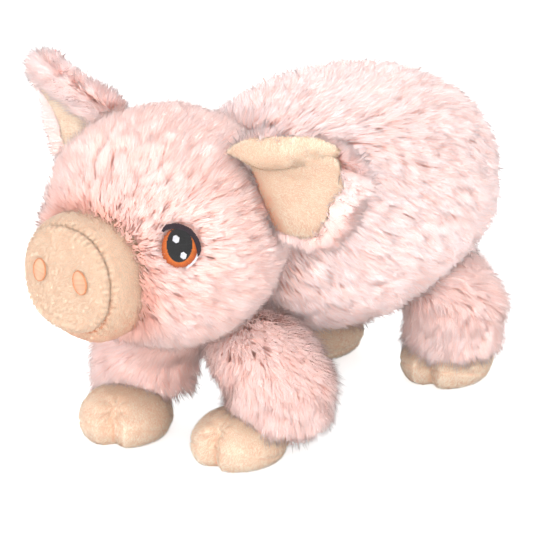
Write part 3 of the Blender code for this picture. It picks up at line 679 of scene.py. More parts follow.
# Snout: a band of short pile that runs round the side, and a puffed disc sewn on in front with the
# seam drawn tight, so both are puckered along it. The disc's lower edge rolls over the band.
SNOUT_CENTRE = Vector((0, 0, 0.099))
SNOUT_HALF_WIDTH = 0.0241
SNOUT_HALF_HEIGHT = 0.0230
SNOUT_SQUARENESS = 2.25
SNOUT_TIP_Y = -0.1274
SNOUT_SEAM_Y = -0.1212
SNOUT_SIDES = 220
SNOUT_BACK_Y = -0.0900
SNOUT_UNEVENNESS = 0.006
PUCKERS = 47
PUCKER_DEPTH = 0.00055
PUCKER_WANDER = 1.7
PUCKER_SHARE = 0.6
DISC_RIM_SHARE = 0.985
DISC_PUCKER_REACH = 0.14
BAND_PUCKER_REACH = 0.0055
DISC_SECTION = (  # share of the rim, and share of the way from the seam to the tip
    (0.86, -0.25), (0.93, -0.10), (0.972, 0.06), (0.985, 0.22), (0.975, 0.42), (0.945, 0.60),
    (0.90, 0.73), (0.83, 0.82), (0.74, 0.88), (0.62, 0.925), (0.48, 0.96), (0.32, 0.985), (0.16, 0.997))
BAND_SECTION = (  # share of the rim, and share of the way from the seam to the back
    (0.88, 0.10), (0.95, 0.010), (0.995, -0.008), (1.035, 0.02), (1.065, 0.07), (1.088, 0.14),
    (1.105, 0.25), (1.112, 0.38), (1.105, 0.52), (1.090, 0.66), (1.070, 0.80), (1.040, 0.92), (1.00, 1.0))
CHIN_SHARE = 0.19
CHIN_START = 0.0008
CHIN_LENGTH = 0.0090
ROLL_DEPTH = 0.0011
ROLL_SHARE = 0.92
ROLL_REACH = 0.12
SHORT_PILE_LENGTH = 0.0014
SHORT_PILE_WIDTH = 0.00024
SHORT_PILE_LIFT = radians(38)
SHORT_PILE_TIP_LIFT = radians(10)
SHORT_PILE_SPREAD = 4.6e6
SHORT_PILE_TUFT = 10
SNOUT_COMB = (-0.7, 0.25, -0.75)
# Painted shade on the snout's pile: deeper orange below and towards the back of the band, in the seam's
# crease and where the band meets the fur.
BAND_SHADE = 0.30
BAND_SHADE_SLOPE = 12
BAND_MOST_SHADE = 0.8
FUR_EDGE_Y = -0.1045
FUR_EDGE_FADE = 0.004
FUR_EDGE_SHADE = 0.9
FUR_EDGE_ROOM = 0.0015
SEAM_HALF_WIDTH = 0.0013
SEAM_SHADE = 0.55
SEAM_SHADE_SLOPE = 22
SEAM_SHADE_LIMITS = (0.3, 0.95)
SHORT_PILE_BACKING = ((0.88, 0.60, 0.43), (0.93, 0.70, 0.52))
PEACH_STOPS = ((0.0, (0.77, 0.48, 0.33)), (0.5, (0.78, 0.61, 0.47)), (1.0, (0.79, 0.69, 0.57)))
# Painted light: paler colours for the same peach short pile where it is on the ears and feet.
BRIGHTENED_PEACH_STOPS = ((0.0, (0.98, 0.71, 0.52)), (0.5, (1.0, 0.88, 0.73)), (1.0, (1.0, 0.95, 0.86)))
PEACH_SHADES = ((0.0, (0.96, 0.42, 0.24)), (0.35, (0.98, 0.93, 0.89)), (1.0, (1.0, 1.0, 1.0)))

short_pile = cloth_material(
    "peach short-pile cloth", SHORT_PILE_BACKING,
    grain_scale=2600, grain_depth=0.0002, roughness=0.8, sheen=0.2)
short_nap = pile_material(
    "peach short pile", PEACH_STOPS, PEACH_SHADES, roughness=0.8, sheen=0.3, glow=0.0060)
# Painted light: a paler copy of the snout's short pile, with a deeper glow, so that the ears and feet look as
# brightly lit as the snout.
brightened_nap = pile_material(
    "peach short pile painted brighter on ears and feet", BRIGHTENED_PEACH_STOPS, PEACH_SHADES,
    roughness=0.8, sheen=0.3, glow=0.0150)


def ringed(name, rings, capped):
    """A closed skin over rings of points, its two ends closed by a point at the middle of each."""
    a_ring = len(rings[0])
    points = [p for ring in rings for p in ring]
    faces = [
        (k * a_ring + i, k * a_ring + (i + 1) % a_ring,
         (k + 1) * a_ring + (i + 1) % a_ring, (k + 1) * a_ring + i)
        for k in range(len(rings) - 1) for i in range(a_ring)]
    for k, tip in zip((0, len(rings) - 1), capped):
        points.append(tip)
        for i in range(a_ring):
            faces.append((k * a_ring + i, k * a_ring + (i + 1) % a_ring, len(points) - 1))
    mesh = bpy.data.meshes.new(name)
    mesh.from_pydata(points, [], faces)
    bm = bmesh.new()
    bm.from_mesh(mesh)
    bmesh.ops.recalc_face_normals(bm, faces=list(bm.faces))
    bm.to_mesh(mesh)
    bm.free()
    mesh.shade_smooth()
    return placed(name, mesh)


def napped(piece, name, comb, seed, shown=None, warmth=None, material=short_nap):
    """Short pile all over a piece, brushed one way."""
    rng = np.random.default_rng(seed)
    area = sum(face.area for face in piece.data.polygons)
    spots, ways = planted(piece, int(area * SHORT_PILE_SPREAD), rng)
    if shown is not None:
        keep = shown(spots, ways)
        spots, ways = spots[keep], ways[keep]
    return combed_pile(
        name, spots, ways, comb, rng, material, length=SHORT_PILE_LENGTH, width=SHORT_PILE_WIDTH,
        lift=SHORT_PILE_LIFT, tip_lift=SHORT_PILE_TIP_LIFT, pull=0.0, tuft=SHORT_PILE_TUFT, warmth=warmth)


def snout_ring(share, y, front):
    """One ring of the snout's skin, a little squared, and puckered near the seam."""
    ring = []
    for i in range(SNOUT_SIDES):
        turn = 2 * pi * i / SNOUT_SIDES
        c, s = cos(turn), sin(turn)
        girth = (abs(c) ** SNOUT_SQUARENESS + abs(s) ** SNOUT_SQUARENESS) ** (-1 / SNOUT_SQUARENESS)
        if front:
            near = max(0.0, 1 - abs(share - DISC_RIM_SHARE) / DISC_PUCKER_REACH)
        else:
            near = max(0.0, 1 - abs(y - SNOUT_SEAM_Y) / BAND_PUCKER_REACH)
        wander = PUCKER_WANDER * noise.noise(Vector((c * 2, s * 2, 3.0)))
        ripple = cos(PUCKERS * turn + wander) * near ** 1.5
        uneven = PUCKER_SHARE + (1 - PUCKER_SHARE) * noise.noise(Vector((c * 3, s * 3, 7.0)))
        size = share * girth * (1 + SNOUT_UNEVENNESS * noise.noise(Vector((c * 1.5, s * 1.5, share))))
        chin = 1.0
        if s < 0 and not front:
            drop = min(1.0, max(0.0, (y - SNOUT_SEAM_Y - CHIN_START) / CHIN_LENGTH))
            chin += CHIN_SHARE * drop * (2 - drop)
        lift = PUCKER_DEPTH * ripple * uneven
        low = max(0.0, -s) ** 2
        forward = y - lift
        if front:
            forward -= ROLL_DEPTH * low * max(0.0, 1 - abs(share - ROLL_SHARE) / ROLL_REACH)
        ring.append((
            SNOUT_HALF_WIDTH * size * c + lift * c, forward,
            SNOUT_CENTRE.z + SNOUT_HALF_HEIGHT * size * s * chin + lift * s))
    return ring


def eased(section, rounds):
    """A section with its corners cut, so that it is as smooth as sewn cloth."""
    for _ in range(rounds):
        out = [section[0]]
        for a, b in zip(section, section[1:]):
            for share in (0.25, 0.75):
                out.append(tuple((1 - share) * p + share * q for p, q in zip(a, b)))
        section = out + [section[-1]]
    return section


def snout_form(name, section, end_y, front):
    """The disc or the band, from its edge at the seam to its far end."""
    rings = [
        snout_ring(share, SNOUT_SEAM_Y + (end_y - SNOUT_SEAM_Y) * part, front)
        for share, part in eased(section, 2)]
    return ringed(name, rings, ((0, rings[0][0][1], SNOUT_CENTRE.z), (0, end_y, SNOUT_CENTRE.z)))


snout_front = snout_form("snout_front", DISC_SECTION, SNOUT_TIP_Y, True)
snout_side = snout_form("snout_side", BAND_SECTION, SNOUT_BACK_Y, False)


def across_the_snout(spots, ways):
    """The snout's pile is brushed up and to the pig's left."""
    return np.tile(SNOUT_COMB, (len(spots), 1))


def seam_shade(spots, ways):
    """Painted shade: pile in the seam's crease is deep orange, most of all below."""
    near = np.exp(-((spots[:, 1] - SNOUT_SEAM_Y) / SEAM_HALF_WIDTH) ** 2)
    above = spots[:, 2] - SNOUT_CENTRE.z
    return near * np.clip(SEAM_SHADE - SEAM_SHADE_SLOPE * above, *SEAM_SHADE_LIMITS)


def snout_band_shade(spots, ways):
    """Painted shade on the band: deeper orange below, towards the back, along the seam and where it meets the
    fur.
    """
    rise = BAND_SHADE_SLOPE * (spots[:, 2] - SNOUT_CENTRE.z)
    warm = np.clip(BAND_SHADE - rise + BAND_SHADE_SLOPE * (spots[:, 1] - SNOUT_SEAM_Y), 0, BAND_MOST_SHADE)
    by_the_fur = FUR_EDGE_SHADE * np.clip((spots[:, 1] - FUR_EDGE_Y) / FUR_EDGE_FADE, 0, 1)
    return np.maximum(np.maximum(warm, seam_shade(spots, ways)), by_the_fur)


def ahead_of_the_fur(spots, ways):
    """The band's pile ends where the head's pile covers it."""
    return in_the_open(spots, ["head_cover"], FUR_EDGE_ROOM)


for piece, node, name, seed, warmth in (
        (snout_front, "snout_face", "snout_front_pile", 21, seam_shade),
        (snout_side, "snout_band", "snout_side_pile", 22, snout_band_shade)):
    piece.data.materials.append(short_pile)
    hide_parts(node)
    nap = napped(piece, name, across_the_snout, seed, shown=ahead_of_the_fur, warmth=warmth)
    for part in (piece, nap):
        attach(part, "head")

# Nostrils: ovals of level satin stitches in salmon thread, each edged with a darker outline stitch.
NOSTRIL_SPACING = 0.0235
NOSTRIL_RISE = 0.0026
NOSTRIL_HALF_WIDTH = 0.0036
NOSTRIL_HALF_HEIGHT = 0.0052
NOSTRIL_LEAN = radians(12)
NOSTRIL_PITCH = 0.00052
NOSTRIL_LIFT = 0.0009
STITCH_SLANT = 0.0002
STITCH_OVERLAP = 1.15
THREAD_RISE = 0.00034
THREAD_STEPS = 6
THREAD_PROFILE = ((-1, -0.6), (-0.55, 0.75), (0.0, 1.0), (0.55, 0.75), (1, -0.6))  # aside and up
THREAD_TINTS = (0.04, 0.88)
THREAD_SPAN = 0.03
THREAD_ENDS = (0.02, 0.96)
OUTLINE_STITCHES = 26
OUTLINE_OVERLAP = 0.15
OUTLINE_WIDTH = 0.0007
OUTLINE_RISE = 0.0005
THREAD_SHADES = ((0.0, (0.80, 0.80, 0.80)), (1.0, (1.0, 1.0, 1.0)))
SALMON = ((0.86, 0.50, 0.31), (0.90, 0.58, 0.40), (0.86, 0.50, 0.31))
BURNT_ORANGE = ((0.72, 0.27, 0.12), (0.78, 0.33, 0.16))


def thread_material(name, colours, roughness):
    """Shiny embroidery thread, its colour running along each stitch in V and from stitch to stitch in U."""
    stops = tuple((i / (len(colours) - 1), colour) for i, colour in enumerate(colours))
    material = pile_material(name, stops, THREAD_SHADES, roughness, sheen=0.2, glow=0.0006)
    shader = material.node_tree.nodes["Principled BSDF"]
    shader.inputs["Subsurface Weight"].default_value = 0.0
    shader.inputs["Specular IOR Level"].default_value = 0.45
    return material


def embroidered(name, stitches, lay, material, width, rise=THREAD_RISE, seed=5):
    """Satin stitches as arched threads from end to end, laid on a ground that lay gives at (u, v)."""
    rng = np.random.default_rng(seed)
    a_row = len(THREAD_PROFILE)
    points = []
    faces = []
    own = []
    for start, end in stitches:
        start = Vector(start)
        run = Vector(end) - start
        if run.length < 1e-6:
            continue
        aside = Vector((-run.y, run.x)).normalized() * width / 2
        base = len(points)
        tint = THREAD_TINTS[0] + THREAD_TINTS[1] * rng.random()
        for k in range(THREAD_STEPS + 1):
            t = k / THREAD_STEPS
            arch = rise * (1 - abs(2 * t - 1) ** 4)
            for share, height in THREAD_PROFILE:
                at = start + run * t + aside * share
                lift = arch * height if height > 0 else height * THREAD_RISE
                points.append(lay(at.x, at.y, lift))
                own.append((tint + THREAD_SPAN * (share + 1), THREAD_ENDS[0] + THREAD_ENDS[1] * t))
        for k in range(THREAD_STEPS):
            for j in range(a_row - 1):
                a = base + k * a_row + j
                faces.append((a, a + 1, a + a_row + 1, a + a_row))
    mesh = bpy.data.meshes.new(name)
    mesh.from_pydata(points, [], faces)
    middle = lay(0, 0, 1.0) - lay(0, 0, 0.0)
    if sum(face.normal.dot(middle) for face in mesh.polygons) < 0:
        mesh.flip_normals()
    own_map = mesh.uv_layers.new(name="OFBake")
    corners = np.empty(len(mesh.loops), np.int32)
    mesh.loops.foreach_get("vertex_index", corners)
    own_map.uv.foreach_set("vector", np.array(own, np.float32)[corners].ravel())
    mesh.shade_smooth()
    mesh.materials.append(material)
    return placed(name, mesh)


nostril_thread = thread_material("salmon thread", SALMON, roughness=0.5)
outline_thread = thread_material("burnt orange thread", BURNT_ORANGE, roughness=0.5)
disc_tree = BVHTree.FromObject(snout_front, bpy.context.evaluated_depsgraph_get())
for word, side in SIDES.items():
    centre = Vector((NOSTRIL_SPACING / 2 * side, 0, SNOUT_CENTRE.z + NOSTRIL_RISE))
    lean = NOSTRIL_LEAN * side

    def on_disc(u, v, lift):
        """The spot that is lift over the disc, u aside from and v above the nostril's middle."""
        x = centre.x + u * cos(lean) - v * sin(lean)
        z = centre.z + u * sin(lean) + v * cos(lean)
        hit = disc_tree.ray_cast(Vector((x, SNOUT_TIP_Y - 0.02, z)), Vector((0, 1, 0)))[0]
        return hit + Vector((0, -lift - NOSTRIL_LIFT, 0))

    rows = int(2 * NOSTRIL_HALF_HEIGHT / NOSTRIL_PITCH)
    fill = []
    for k in range(rows):
        v = NOSTRIL_HALF_HEIGHT * ((2 * k + 1) / rows - 1)
        reach = NOSTRIL_HALF_WIDTH * (1 - (v / NOSTRIL_HALF_HEIGHT) ** 2) ** 0.5
        fill.append(((-reach, v), (reach, v + STITCH_SLANT)))
    edge = []
    for k in range(OUTLINE_STITCHES):
        a, b = (2 * pi * (k + over) / OUTLINE_STITCHES for over in (-OUTLINE_OVERLAP, 1 + OUTLINE_OVERLAP))
        edge.append((
            (NOSTRIL_HALF_WIDTH * cos(a), NOSTRIL_HALF_HEIGHT * sin(a)),
            (NOSTRIL_HALF_WIDTH * cos(b), NOSTRIL_HALF_HEIGHT * sin(b))))
    inside = embroidered(
        f"nostril_fill_{word}", fill, on_disc, nostril_thread, NOSTRIL_PITCH * STITCH_OVERLAP)
    outline = embroidered(
        f"nostril_outline_{word}", edge, on_disc, outline_thread, OUTLINE_WIDTH, OUTLINE_RISE)
    for piece in (inside, outline):
        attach(piece, "head")
    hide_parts(f"nostril_{word}")

# Eyes: embroidered through the clipped fur. Orange spokes with a toothed rim make the iris, upright
# satin stitches the oval pupil, and slanting ones the lash over it, with white for the highlights.
EYE_HALF_WIDTH = 0.0079
EYE_HALF_HEIGHT = 0.0086
EYE_DROPS = {1: 0.0017, -1: 0.0042}
EYE_DOME = 0.0014
EYE_DOME_HALVES = (0.0095, 0.0105)
EYE_BACKWARDS = (0.7431, 0.6691, 0)
PUPIL_HALF_WIDTH = 0.0055
PUPIL_HALF_HEIGHT = 0.0075
PUPIL_PLACE = (-0.0003, 0.0003)
PUPIL_PITCH = 0.00036
PUPIL_STITCHES = 4
PUPIL_OVERLAP = 0.08
PUPIL_UNDER_IRIS = 0.86
IRIS_SPOKES = 120
IRIS_SPOKE_SPREAD = 0.022
IRIS_SPOKE_TURN = 0.03
IRIS_DROP = 0.0009
LASH_LINE = (  # outer and inner edges, along the lash from its front end
    ((-0.0078, 0.0063), (-0.0071, 0.0056)), ((-0.0070, 0.0077), (-0.0060, 0.0066)),
    ((-0.0058, 0.0088), (-0.0047, 0.0070)), ((-0.0040, 0.0091), (-0.0036, 0.0070)),
    ((-0.0022, 0.0094), (-0.0022, 0.0072)), ((-0.0005, 0.0092), (-0.0008, 0.0068)),
    ((0.0014, 0.0085), (0.0008, 0.0064)), ((0.0033, 0.0077), (0.0024, 0.0058)),
    ((0.0049, 0.0066), (0.0038, 0.0048)), ((0.0061, 0.0051), (0.0048, 0.0036)),
    ((0.0074, 0.0034), (0.0056, 0.0024)), ((0.0083, 0.0016), (0.0062, 0.0010)),
    ((0.0089, -0.0003), (0.0067, -0.0006)), ((0.0090, -0.0022), (0.0072, -0.0024)),
    ((0.0086, -0.0038), (0.0074, -0.0038)), ((0.0078, -0.0047), (0.0075, -0.0046)))
LASH_STITCHES = 84
LASH_SLANT = 0.02
LASH_RAGGEDNESS = 0.10
HIGHLIGHTS = ((-0.0019, 0.0028, 0.0015), (0.0013, -0.0043, 0.0014))  # place and half size
HIGHLIGHT_STITCHES = 7
HIGHLIGHT_SLANT = 0.35
HIGHLIGHT_TAPER = 0.62
CRESCENT = ((0.0078, -0.0036), (0.0072, -0.0052), (0.0062, -0.0069), (0.0048, -0.0083), (0.0030, -0.0095))
CRESCENT_STITCHES = 40
CRESCENT_HALF_WIDTH = 0.0005
GROUND_STITCHES = 60
GROUND_SHARE = 0.93
GROUND_DROP = 0.0006
ORANGE = ((0.83, 0.27, 0.045), (0.70, 0.16, 0.02), (0.42, 0.075, 0.012))
BLACK = ((0.012, 0.012, 0.013), (0.018, 0.017, 0.018))
PLUM_BLACK = ((0.022, 0.010, 0.018), (0.035, 0.014, 0.024))
WHITE = ((0.80, 0.80, 0.86), (0.92, 0.92, 0.94))

iris_thread = thread_material("orange thread", ORANGE, roughness=0.45)
pupil_thread = thread_material("black thread", BLACK, roughness=0.5)
lash_thread = thread_material("plum black thread", PLUM_BLACK, roughness=0.5)
white_thread = thread_material("white thread", WHITE, roughness=0.4)


def along_line(line, t):
    """The spot a share t of the way along a line of points."""
    place = min(t, 0.99999) * (len(line) - 1)
    k = int(place)
    return tuple(p + (q - p) * (place - k) for p, q in zip(line[k], line[k + 1]))


for word, side in SIDES.items():
    centre = Vector(mirrored(EYE_PLACE, side))
    out_of_eye = Vector(mirrored(EYE_OUTWARD, side))
    backwards = Vector(mirrored(EYE_BACKWARDS, side))
    backwards = (backwards - out_of_eye * backwards.dot(out_of_eye)).normalized()
    upwards = out_of_eye.cross(backwards) * side

    def on_eye(u, v, lift):
        """The spot that is lift over the eye's dome, u behind and v above its middle."""
        bulge = EYE_DOME * (1 - (u / EYE_DOME_HALVES[0]) ** 2 - (v / EYE_DOME_HALVES[1]) ** 2)
        return centre + backwards * u + upwards * v + out_of_eye * (bulge - EYE_DROPS[side] + lift)

    rng = np.random.default_rng(31)
    pupil_u, pupil_v = PUPIL_PLACE
    spokes = []
    for k in range(IRIS_SPOKES):
        turn = 2 * pi * k / IRIS_SPOKES
        reach = 1 + rng.normal(0, IRIS_SPOKE_SPREAD)
        far = turn + IRIS_SPOKE_TURN
        spokes.append((
            (pupil_u + PUPIL_HALF_WIDTH * PUPIL_UNDER_IRIS * cos(turn),
             pupil_v + PUPIL_HALF_HEIGHT * PUPIL_UNDER_IRIS * sin(turn)),
            (EYE_HALF_WIDTH * reach * cos(far), EYE_HALF_HEIGHT * reach * sin(far) - IRIS_DROP)))
    columns = int(2 * PUPIL_HALF_WIDTH / PUPIL_PITCH)
    pupil = []
    for k in range(columns):
        u = PUPIL_HALF_WIDTH * ((2 * k + 1) / columns - 1)
        reach = PUPIL_HALF_HEIGHT * (1 - (u / PUPIL_HALF_WIDTH) ** 2) ** 0.5
        for part in range(PUPIL_STITCHES):
            ends = (part - PUPIL_OVERLAP, part + 1 + PUPIL_OVERLAP)
            a, b = (reach * (share / (PUPIL_STITCHES / 2) - 1) for share in ends)
            pupil.append(((pupil_u + u, pupil_v + max(a, -reach)), (pupil_u + u, pupil_v + min(b, reach))))
    lash = []
    for k in range(LASH_STITCHES):
        t = k / (LASH_STITCHES - 1)
        outer = along_line([pair[0] for pair in LASH_LINE], t)
        inner = along_line([pair[1] for pair in LASH_LINE], min(1, t + LASH_SLANT))
        stretch = 1 + LASH_RAGGEDNESS * rng.random()
        lash.append((inner, tuple(i + (o - i) * stretch for i, o in zip(inner, outer))))
    shine = []
    for u, v, half in HIGHLIGHTS:
        for k in range(HIGHLIGHT_STITCHES):
            across = half * ((k + 0.5) / (HIGHLIGHT_STITCHES / 2) - 1)
            reach = half * (1 - HIGHLIGHT_TAPER * abs(across) / half)
            middle = u - across * HIGHLIGHT_SLANT
            tilt = reach * HIGHLIGHT_SLANT
            shine.append(((middle - reach, v + across - tilt), (middle + reach, v + across + tilt)))
    rim = []
    for k in range(CRESCENT_STITCHES):
        u, v = along_line(CRESCENT, k / (CRESCENT_STITCHES - 1))
        out = Vector((u, v)).normalized() * CRESCENT_HALF_WIDTH
        rim.append(((u - out.x, v - out.y), (u + out.x, v + out.y)))
    ground = []
    for k in range(GROUND_STITCHES):
        turn = pi * (k + 0.5) / GROUND_STITCHES
        reach = EYE_HALF_WIDTH * GROUND_SHARE * sin(turn)
        v = EYE_HALF_HEIGHT * GROUND_SHARE * cos(turn) - GROUND_DROP
        ground.append(((-reach, v), (reach, v)))
    pieces = [
        embroidered(
            f"eye_{layer}_{word}", stitches, lambda u, v, h: on_eye(u, v, h + over), thread, width, rise)
        for layer, stitches, over, thread, width, rise in (
            ("ground", ground, -0.0005, lash_thread, 0.00090, 0.0002),
            ("iris", spokes, 0.0, iris_thread, 0.00050, 0.0003),
            ("pupil", pupil, 0.0003, pupil_thread, 0.00045, 0.0003),
            ("lash", lash, 0.0004, lash_thread, 0.00052, 0.0006),
            ("shine", shine, 0.0007, white_thread, 0.00050, 0.0003),
            ("white", rim, 0.0, white_thread, 0.00036, 0.0003))]
    for piece in pieces:
        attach(piece, "head")
    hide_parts(f"eye_{word}")

# Ears: two layers sewn together round the edge, fur behind and short pile in front, and sewn to the
# head along the root; on the left ear the front edge is folded in. The fur stands out round the rim.
EAR_STRANDS = 24000
EAR_PILE = 0.0102
EAR_BACKING_DEPTH = 0.0022
EAR_BACK_GRAIN = 0.0013
EAR_LINING_GRAIN = 0.0008
EAR_SMOOTHING_ROUNDS = 4
EAR_COMB_CENTRE = (0, -0.004, 0)  # from the joint at the root
EAR_RIM_WARMTH = 0.12
EAR_MIDDLE_WARMTH = 0.26
EAR_RIM_TIPWARD = (0.030, 0.012)  # where the pile starts to pale towards the rim, and over what length
EAR_RIM_UPWARD = (0.014, 0.010)
# Painted shade: the ear lining's pile is deep orange in the crease along its root.
LINING_WARMTH = 0.25
LINING_ROOT_SHADE = 0.7
LINING_ROOT = (0.002, 0.009)  # where the painted shade in the lining's root crease is deepest, and over what length it fades
LINING_ROOT_TOP = 0.014
LINING_CLEARING = 0.0014
CUT_INSIDE = 0.98
EAR_TIPWARD = (0.94453, 0.14960, 0.29237)
EAR_UPWARD = (-0.24235, -0.28332, 0.92790)
EAR_FACING = (0.22165, -0.94728, -0.23135)
LINING_LOW_SHARE = 0.78
LINING_TIP_SHARES = (0.70, 0.84, 1.24)  # least, at the middle line, and most
LINING_TIP_SLOPE = 18.0
BACK_TIP_SLOPE = 8.5
BACK_TIP_SHARE = 0.93
BACK_TIP_LIMITS = (-0.10, 0.18)
BACK_LOW_SHARE = 0.84
BACK_HIGH_SHARE = 1.18
LINING_HIGH_SHARES = {"left": 1.12, "right": 0.50}
FOLD_LINE = (  # tipward, top edge, lower edge, forward and thickness, along the folded front edge
    (-0.0040, 0.0270, 0.0260, 0.0080, 0.0010), (0.0005, 0.0290, 0.0234, 0.0088, 0.0024),
    (0.0050, 0.0306, 0.0195, 0.0098, 0.0036), (0.0100, 0.0318, 0.0167, 0.0106, 0.0042),
    (0.0165, 0.0323, 0.0157, 0.0110, 0.0044), (0.0235, 0.0319, 0.0157, 0.0109, 0.0040),
    (0.0310, 0.0308, 0.0155, 0.0101, 0.0031), (0.0380, 0.0292, 0.0151, 0.0090, 0.0022),
    (0.0440, 0.0270, 0.0151, 0.0080, 0.0016), (0.0500, 0.0230, 0.0180, 0.0070, 0.0010))
FOLD_STATIONS = 40
FOLD_SIDES = 26
FOLD_ROOT_TAPER = (0.02, 0.10)
FOLD_TIP_TAPER = (0.012, 0.05)
FOLD_WAVE = 0.0004
FOLD_WAVES = 6
FOLD_CURL = 0.0022
FOLD_LEAN = 0.0012
joints = {joint["child"]: Vector(joint["pos_m"]) for joint in frame["joints"]}
for word, side in SIDES.items():
    root = np.array(joints[f"ear_{word}"])
    tipward, upward, facing = (mirrored(way, side) for way in (EAR_TIPWARD, EAR_UPWARD, EAR_FACING))

    def tipwards(spots, ways):
        """The way the ear's pile is combed."""
        return spots - root - np.array(EAR_COMB_CENTRE)

    def lining_tone_and_root_shade(spots, ways):
        """Painted shade: the lining is deep orange in the crease where it is sewn to the head."""
        off = spots - root
        near = np.clip(1 - (off @ tipward - LINING_ROOT[0]) / LINING_ROOT[1], 0, 1)
        return LINING_WARMTH + LINING_ROOT_SHADE * near * (off @ upward < LINING_ROOT_TOP)

    def ear_warmth(spots, ways):
        """The ear's pile pales towards its tip and its upper edge."""
        off = spots - root
        out = (off @ tipward - EAR_RIM_TIPWARD[0]) / EAR_RIM_TIPWARD[1]
        out = np.maximum(out, (off @ upward - EAR_RIM_UPWARD[0]) / EAR_RIM_UPWARD[1])
        return EAR_RIM_WARMTH + EAR_MIDDLE_WARMTH * np.clip(1 - out, 0, 1)

    lining = sewn_form(
        f"ear_front_{word}", [f"ear_lining_{word}"], EAR_LINING_GRAIN,
        hull=False, rounds=EAR_SMOOTHING_ROUNDS)

    def recut(piece, shares):
        """Cuts a layer of the ear to its outline, so that it keeps its cupped form."""
        uncut = BVHTree.FromObject(piece, bpy.context.evaluated_depsgraph_get())

        def front_of(t, c):
            """How far the uncut layer's front lies ahead of the root, at t tipward and c upward."""
            start = Vector(root + tipward * t + upward * c + facing * 0.05)
            hit = uncut.ray_cast(start, Vector(-facing))[0]
            hit = hit or uncut.find_nearest(start - Vector(facing) * 0.04)[0]
            return (np.array(hit) - root) @ facing

        co = array_of(piece.data.vertices, "co", 3)
        t, c, f = (co - root) @ tipward, (co - root) @ upward, (co - root) @ facing
        t_cut, c_cut = shares(t, c)
        f += np.array([
            front_of(a * CUT_INSIDE, b * CUT_INSIDE) - front_of(p * CUT_INSIDE, q * CUT_INSIDE)
            for a, b, p, q in zip(t_cut, c_cut, t, c)])
        reshaped(piece, root + tipward * t_cut[:, None] + upward * c_cut[:, None] + facing * f[:, None])

    def lining_cut(t, c):
        """The lining's outline: shorter below, and longer towards its upper corner."""
        least, middle, most = LINING_TIP_SHARES
        share = np.clip(middle + LINING_TIP_SLOPE * c, least, most)
        return t * share, np.where(c < 0, c * LINING_LOW_SHARE, c * LINING_HIGH_SHARES[word])

    def back_cut(t, c):
        """The back's outline: a little larger than the lining's all round."""
        share = BACK_TIP_SHARE + np.clip(BACK_TIP_SLOPE * c, *BACK_TIP_LIMITS)
        return np.where(t > 0, t * share, t), np.where(c < 0, c * BACK_LOW_SHARE, c * BACK_HIGH_SHARE)

    recut(lining, lining_cut)
    linings = [(lining, f"ear_front_pile_{word}")]
    if word == "left":
        rings = []
        for k in range(FOLD_STATIONS):
            share = k / (FOLD_STATIONS - 1)
            t, top, low, ahead, thick = along_line(FOLD_LINE, share)
            root_taper = (FOLD_ROOT_TAPER[0] + share) / FOLD_ROOT_TAPER[1]
            tip_taper = (FOLD_TIP_TAPER[0] + 1 - share) / FOLD_TIP_TAPER[1]
            taper = min(1.0, root_taper, tip_taper) ** 0.5
            ahead += FOLD_WAVE * noise.noise(Vector((share * FOLD_WAVES, 0.3, side)))
            ring = []
            for i in range(FOLD_SIDES):
                turn = 2 * pi * i / FOLD_SIDES
                c = (top + low) / 2 + (top - low) / 2 * taper * cos(turn)
                f = ahead - FOLD_CURL * cos(turn) ** 2 + FOLD_LEAN * cos(turn) + thick / 2 * taper * sin(turn)
                ring.append(tuple(root + tipward * t + upward * c + facing * f))
            rings.append(ring)
        ends = [tuple(np.mean(np.array(ring), 0)) for ring in (rings[0], rings[-1])]
        linings.append((ringed(f"ear_fold_{word}", rings, ends), f"ear_fold_pile_{word}"))
    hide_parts(f"ear_lining_{word}")
    for piece, name in linings:
        piece.data.materials.append(short_pile)
        nap = napped(piece, name, tipwards, 41, warmth=lining_tone_and_root_shade, material=brightened_nap)
        for part in (piece, nap):
            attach(part, f"ear_{word}")
    back = sewn_form(
        f"ear_skin_{word}", [f"ear_back_{word}"], EAR_BACK_GRAIN, hull=False, rounds=EAR_SMOOTHING_ROUNDS)
    drawn_in(back, EAR_BACKING_DEPTH)
    recut(back, back_cut)
    back.data.materials.append(backing)
    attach(back, f"ear_{word}")
    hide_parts(f"ear_back_{word}")
    rng = np.random.default_rng(42)
    spots, ways = planted(back, EAR_STRANDS, rng)
    reaches = reaches_of(spots, ways, tipwards, EAR_PILE)
    clear = clear_of(spots, reaches, [piece for piece, _ in linings], LINING_CLEARING)
    ear_fur = combed_pile(
        f"ear_fur_{word}", spots[clear], ways[clear], tipwards, rng, fur, length=EAR_PILE, warmth=ear_warmth)
    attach(ear_fur, f"ear_{word}")
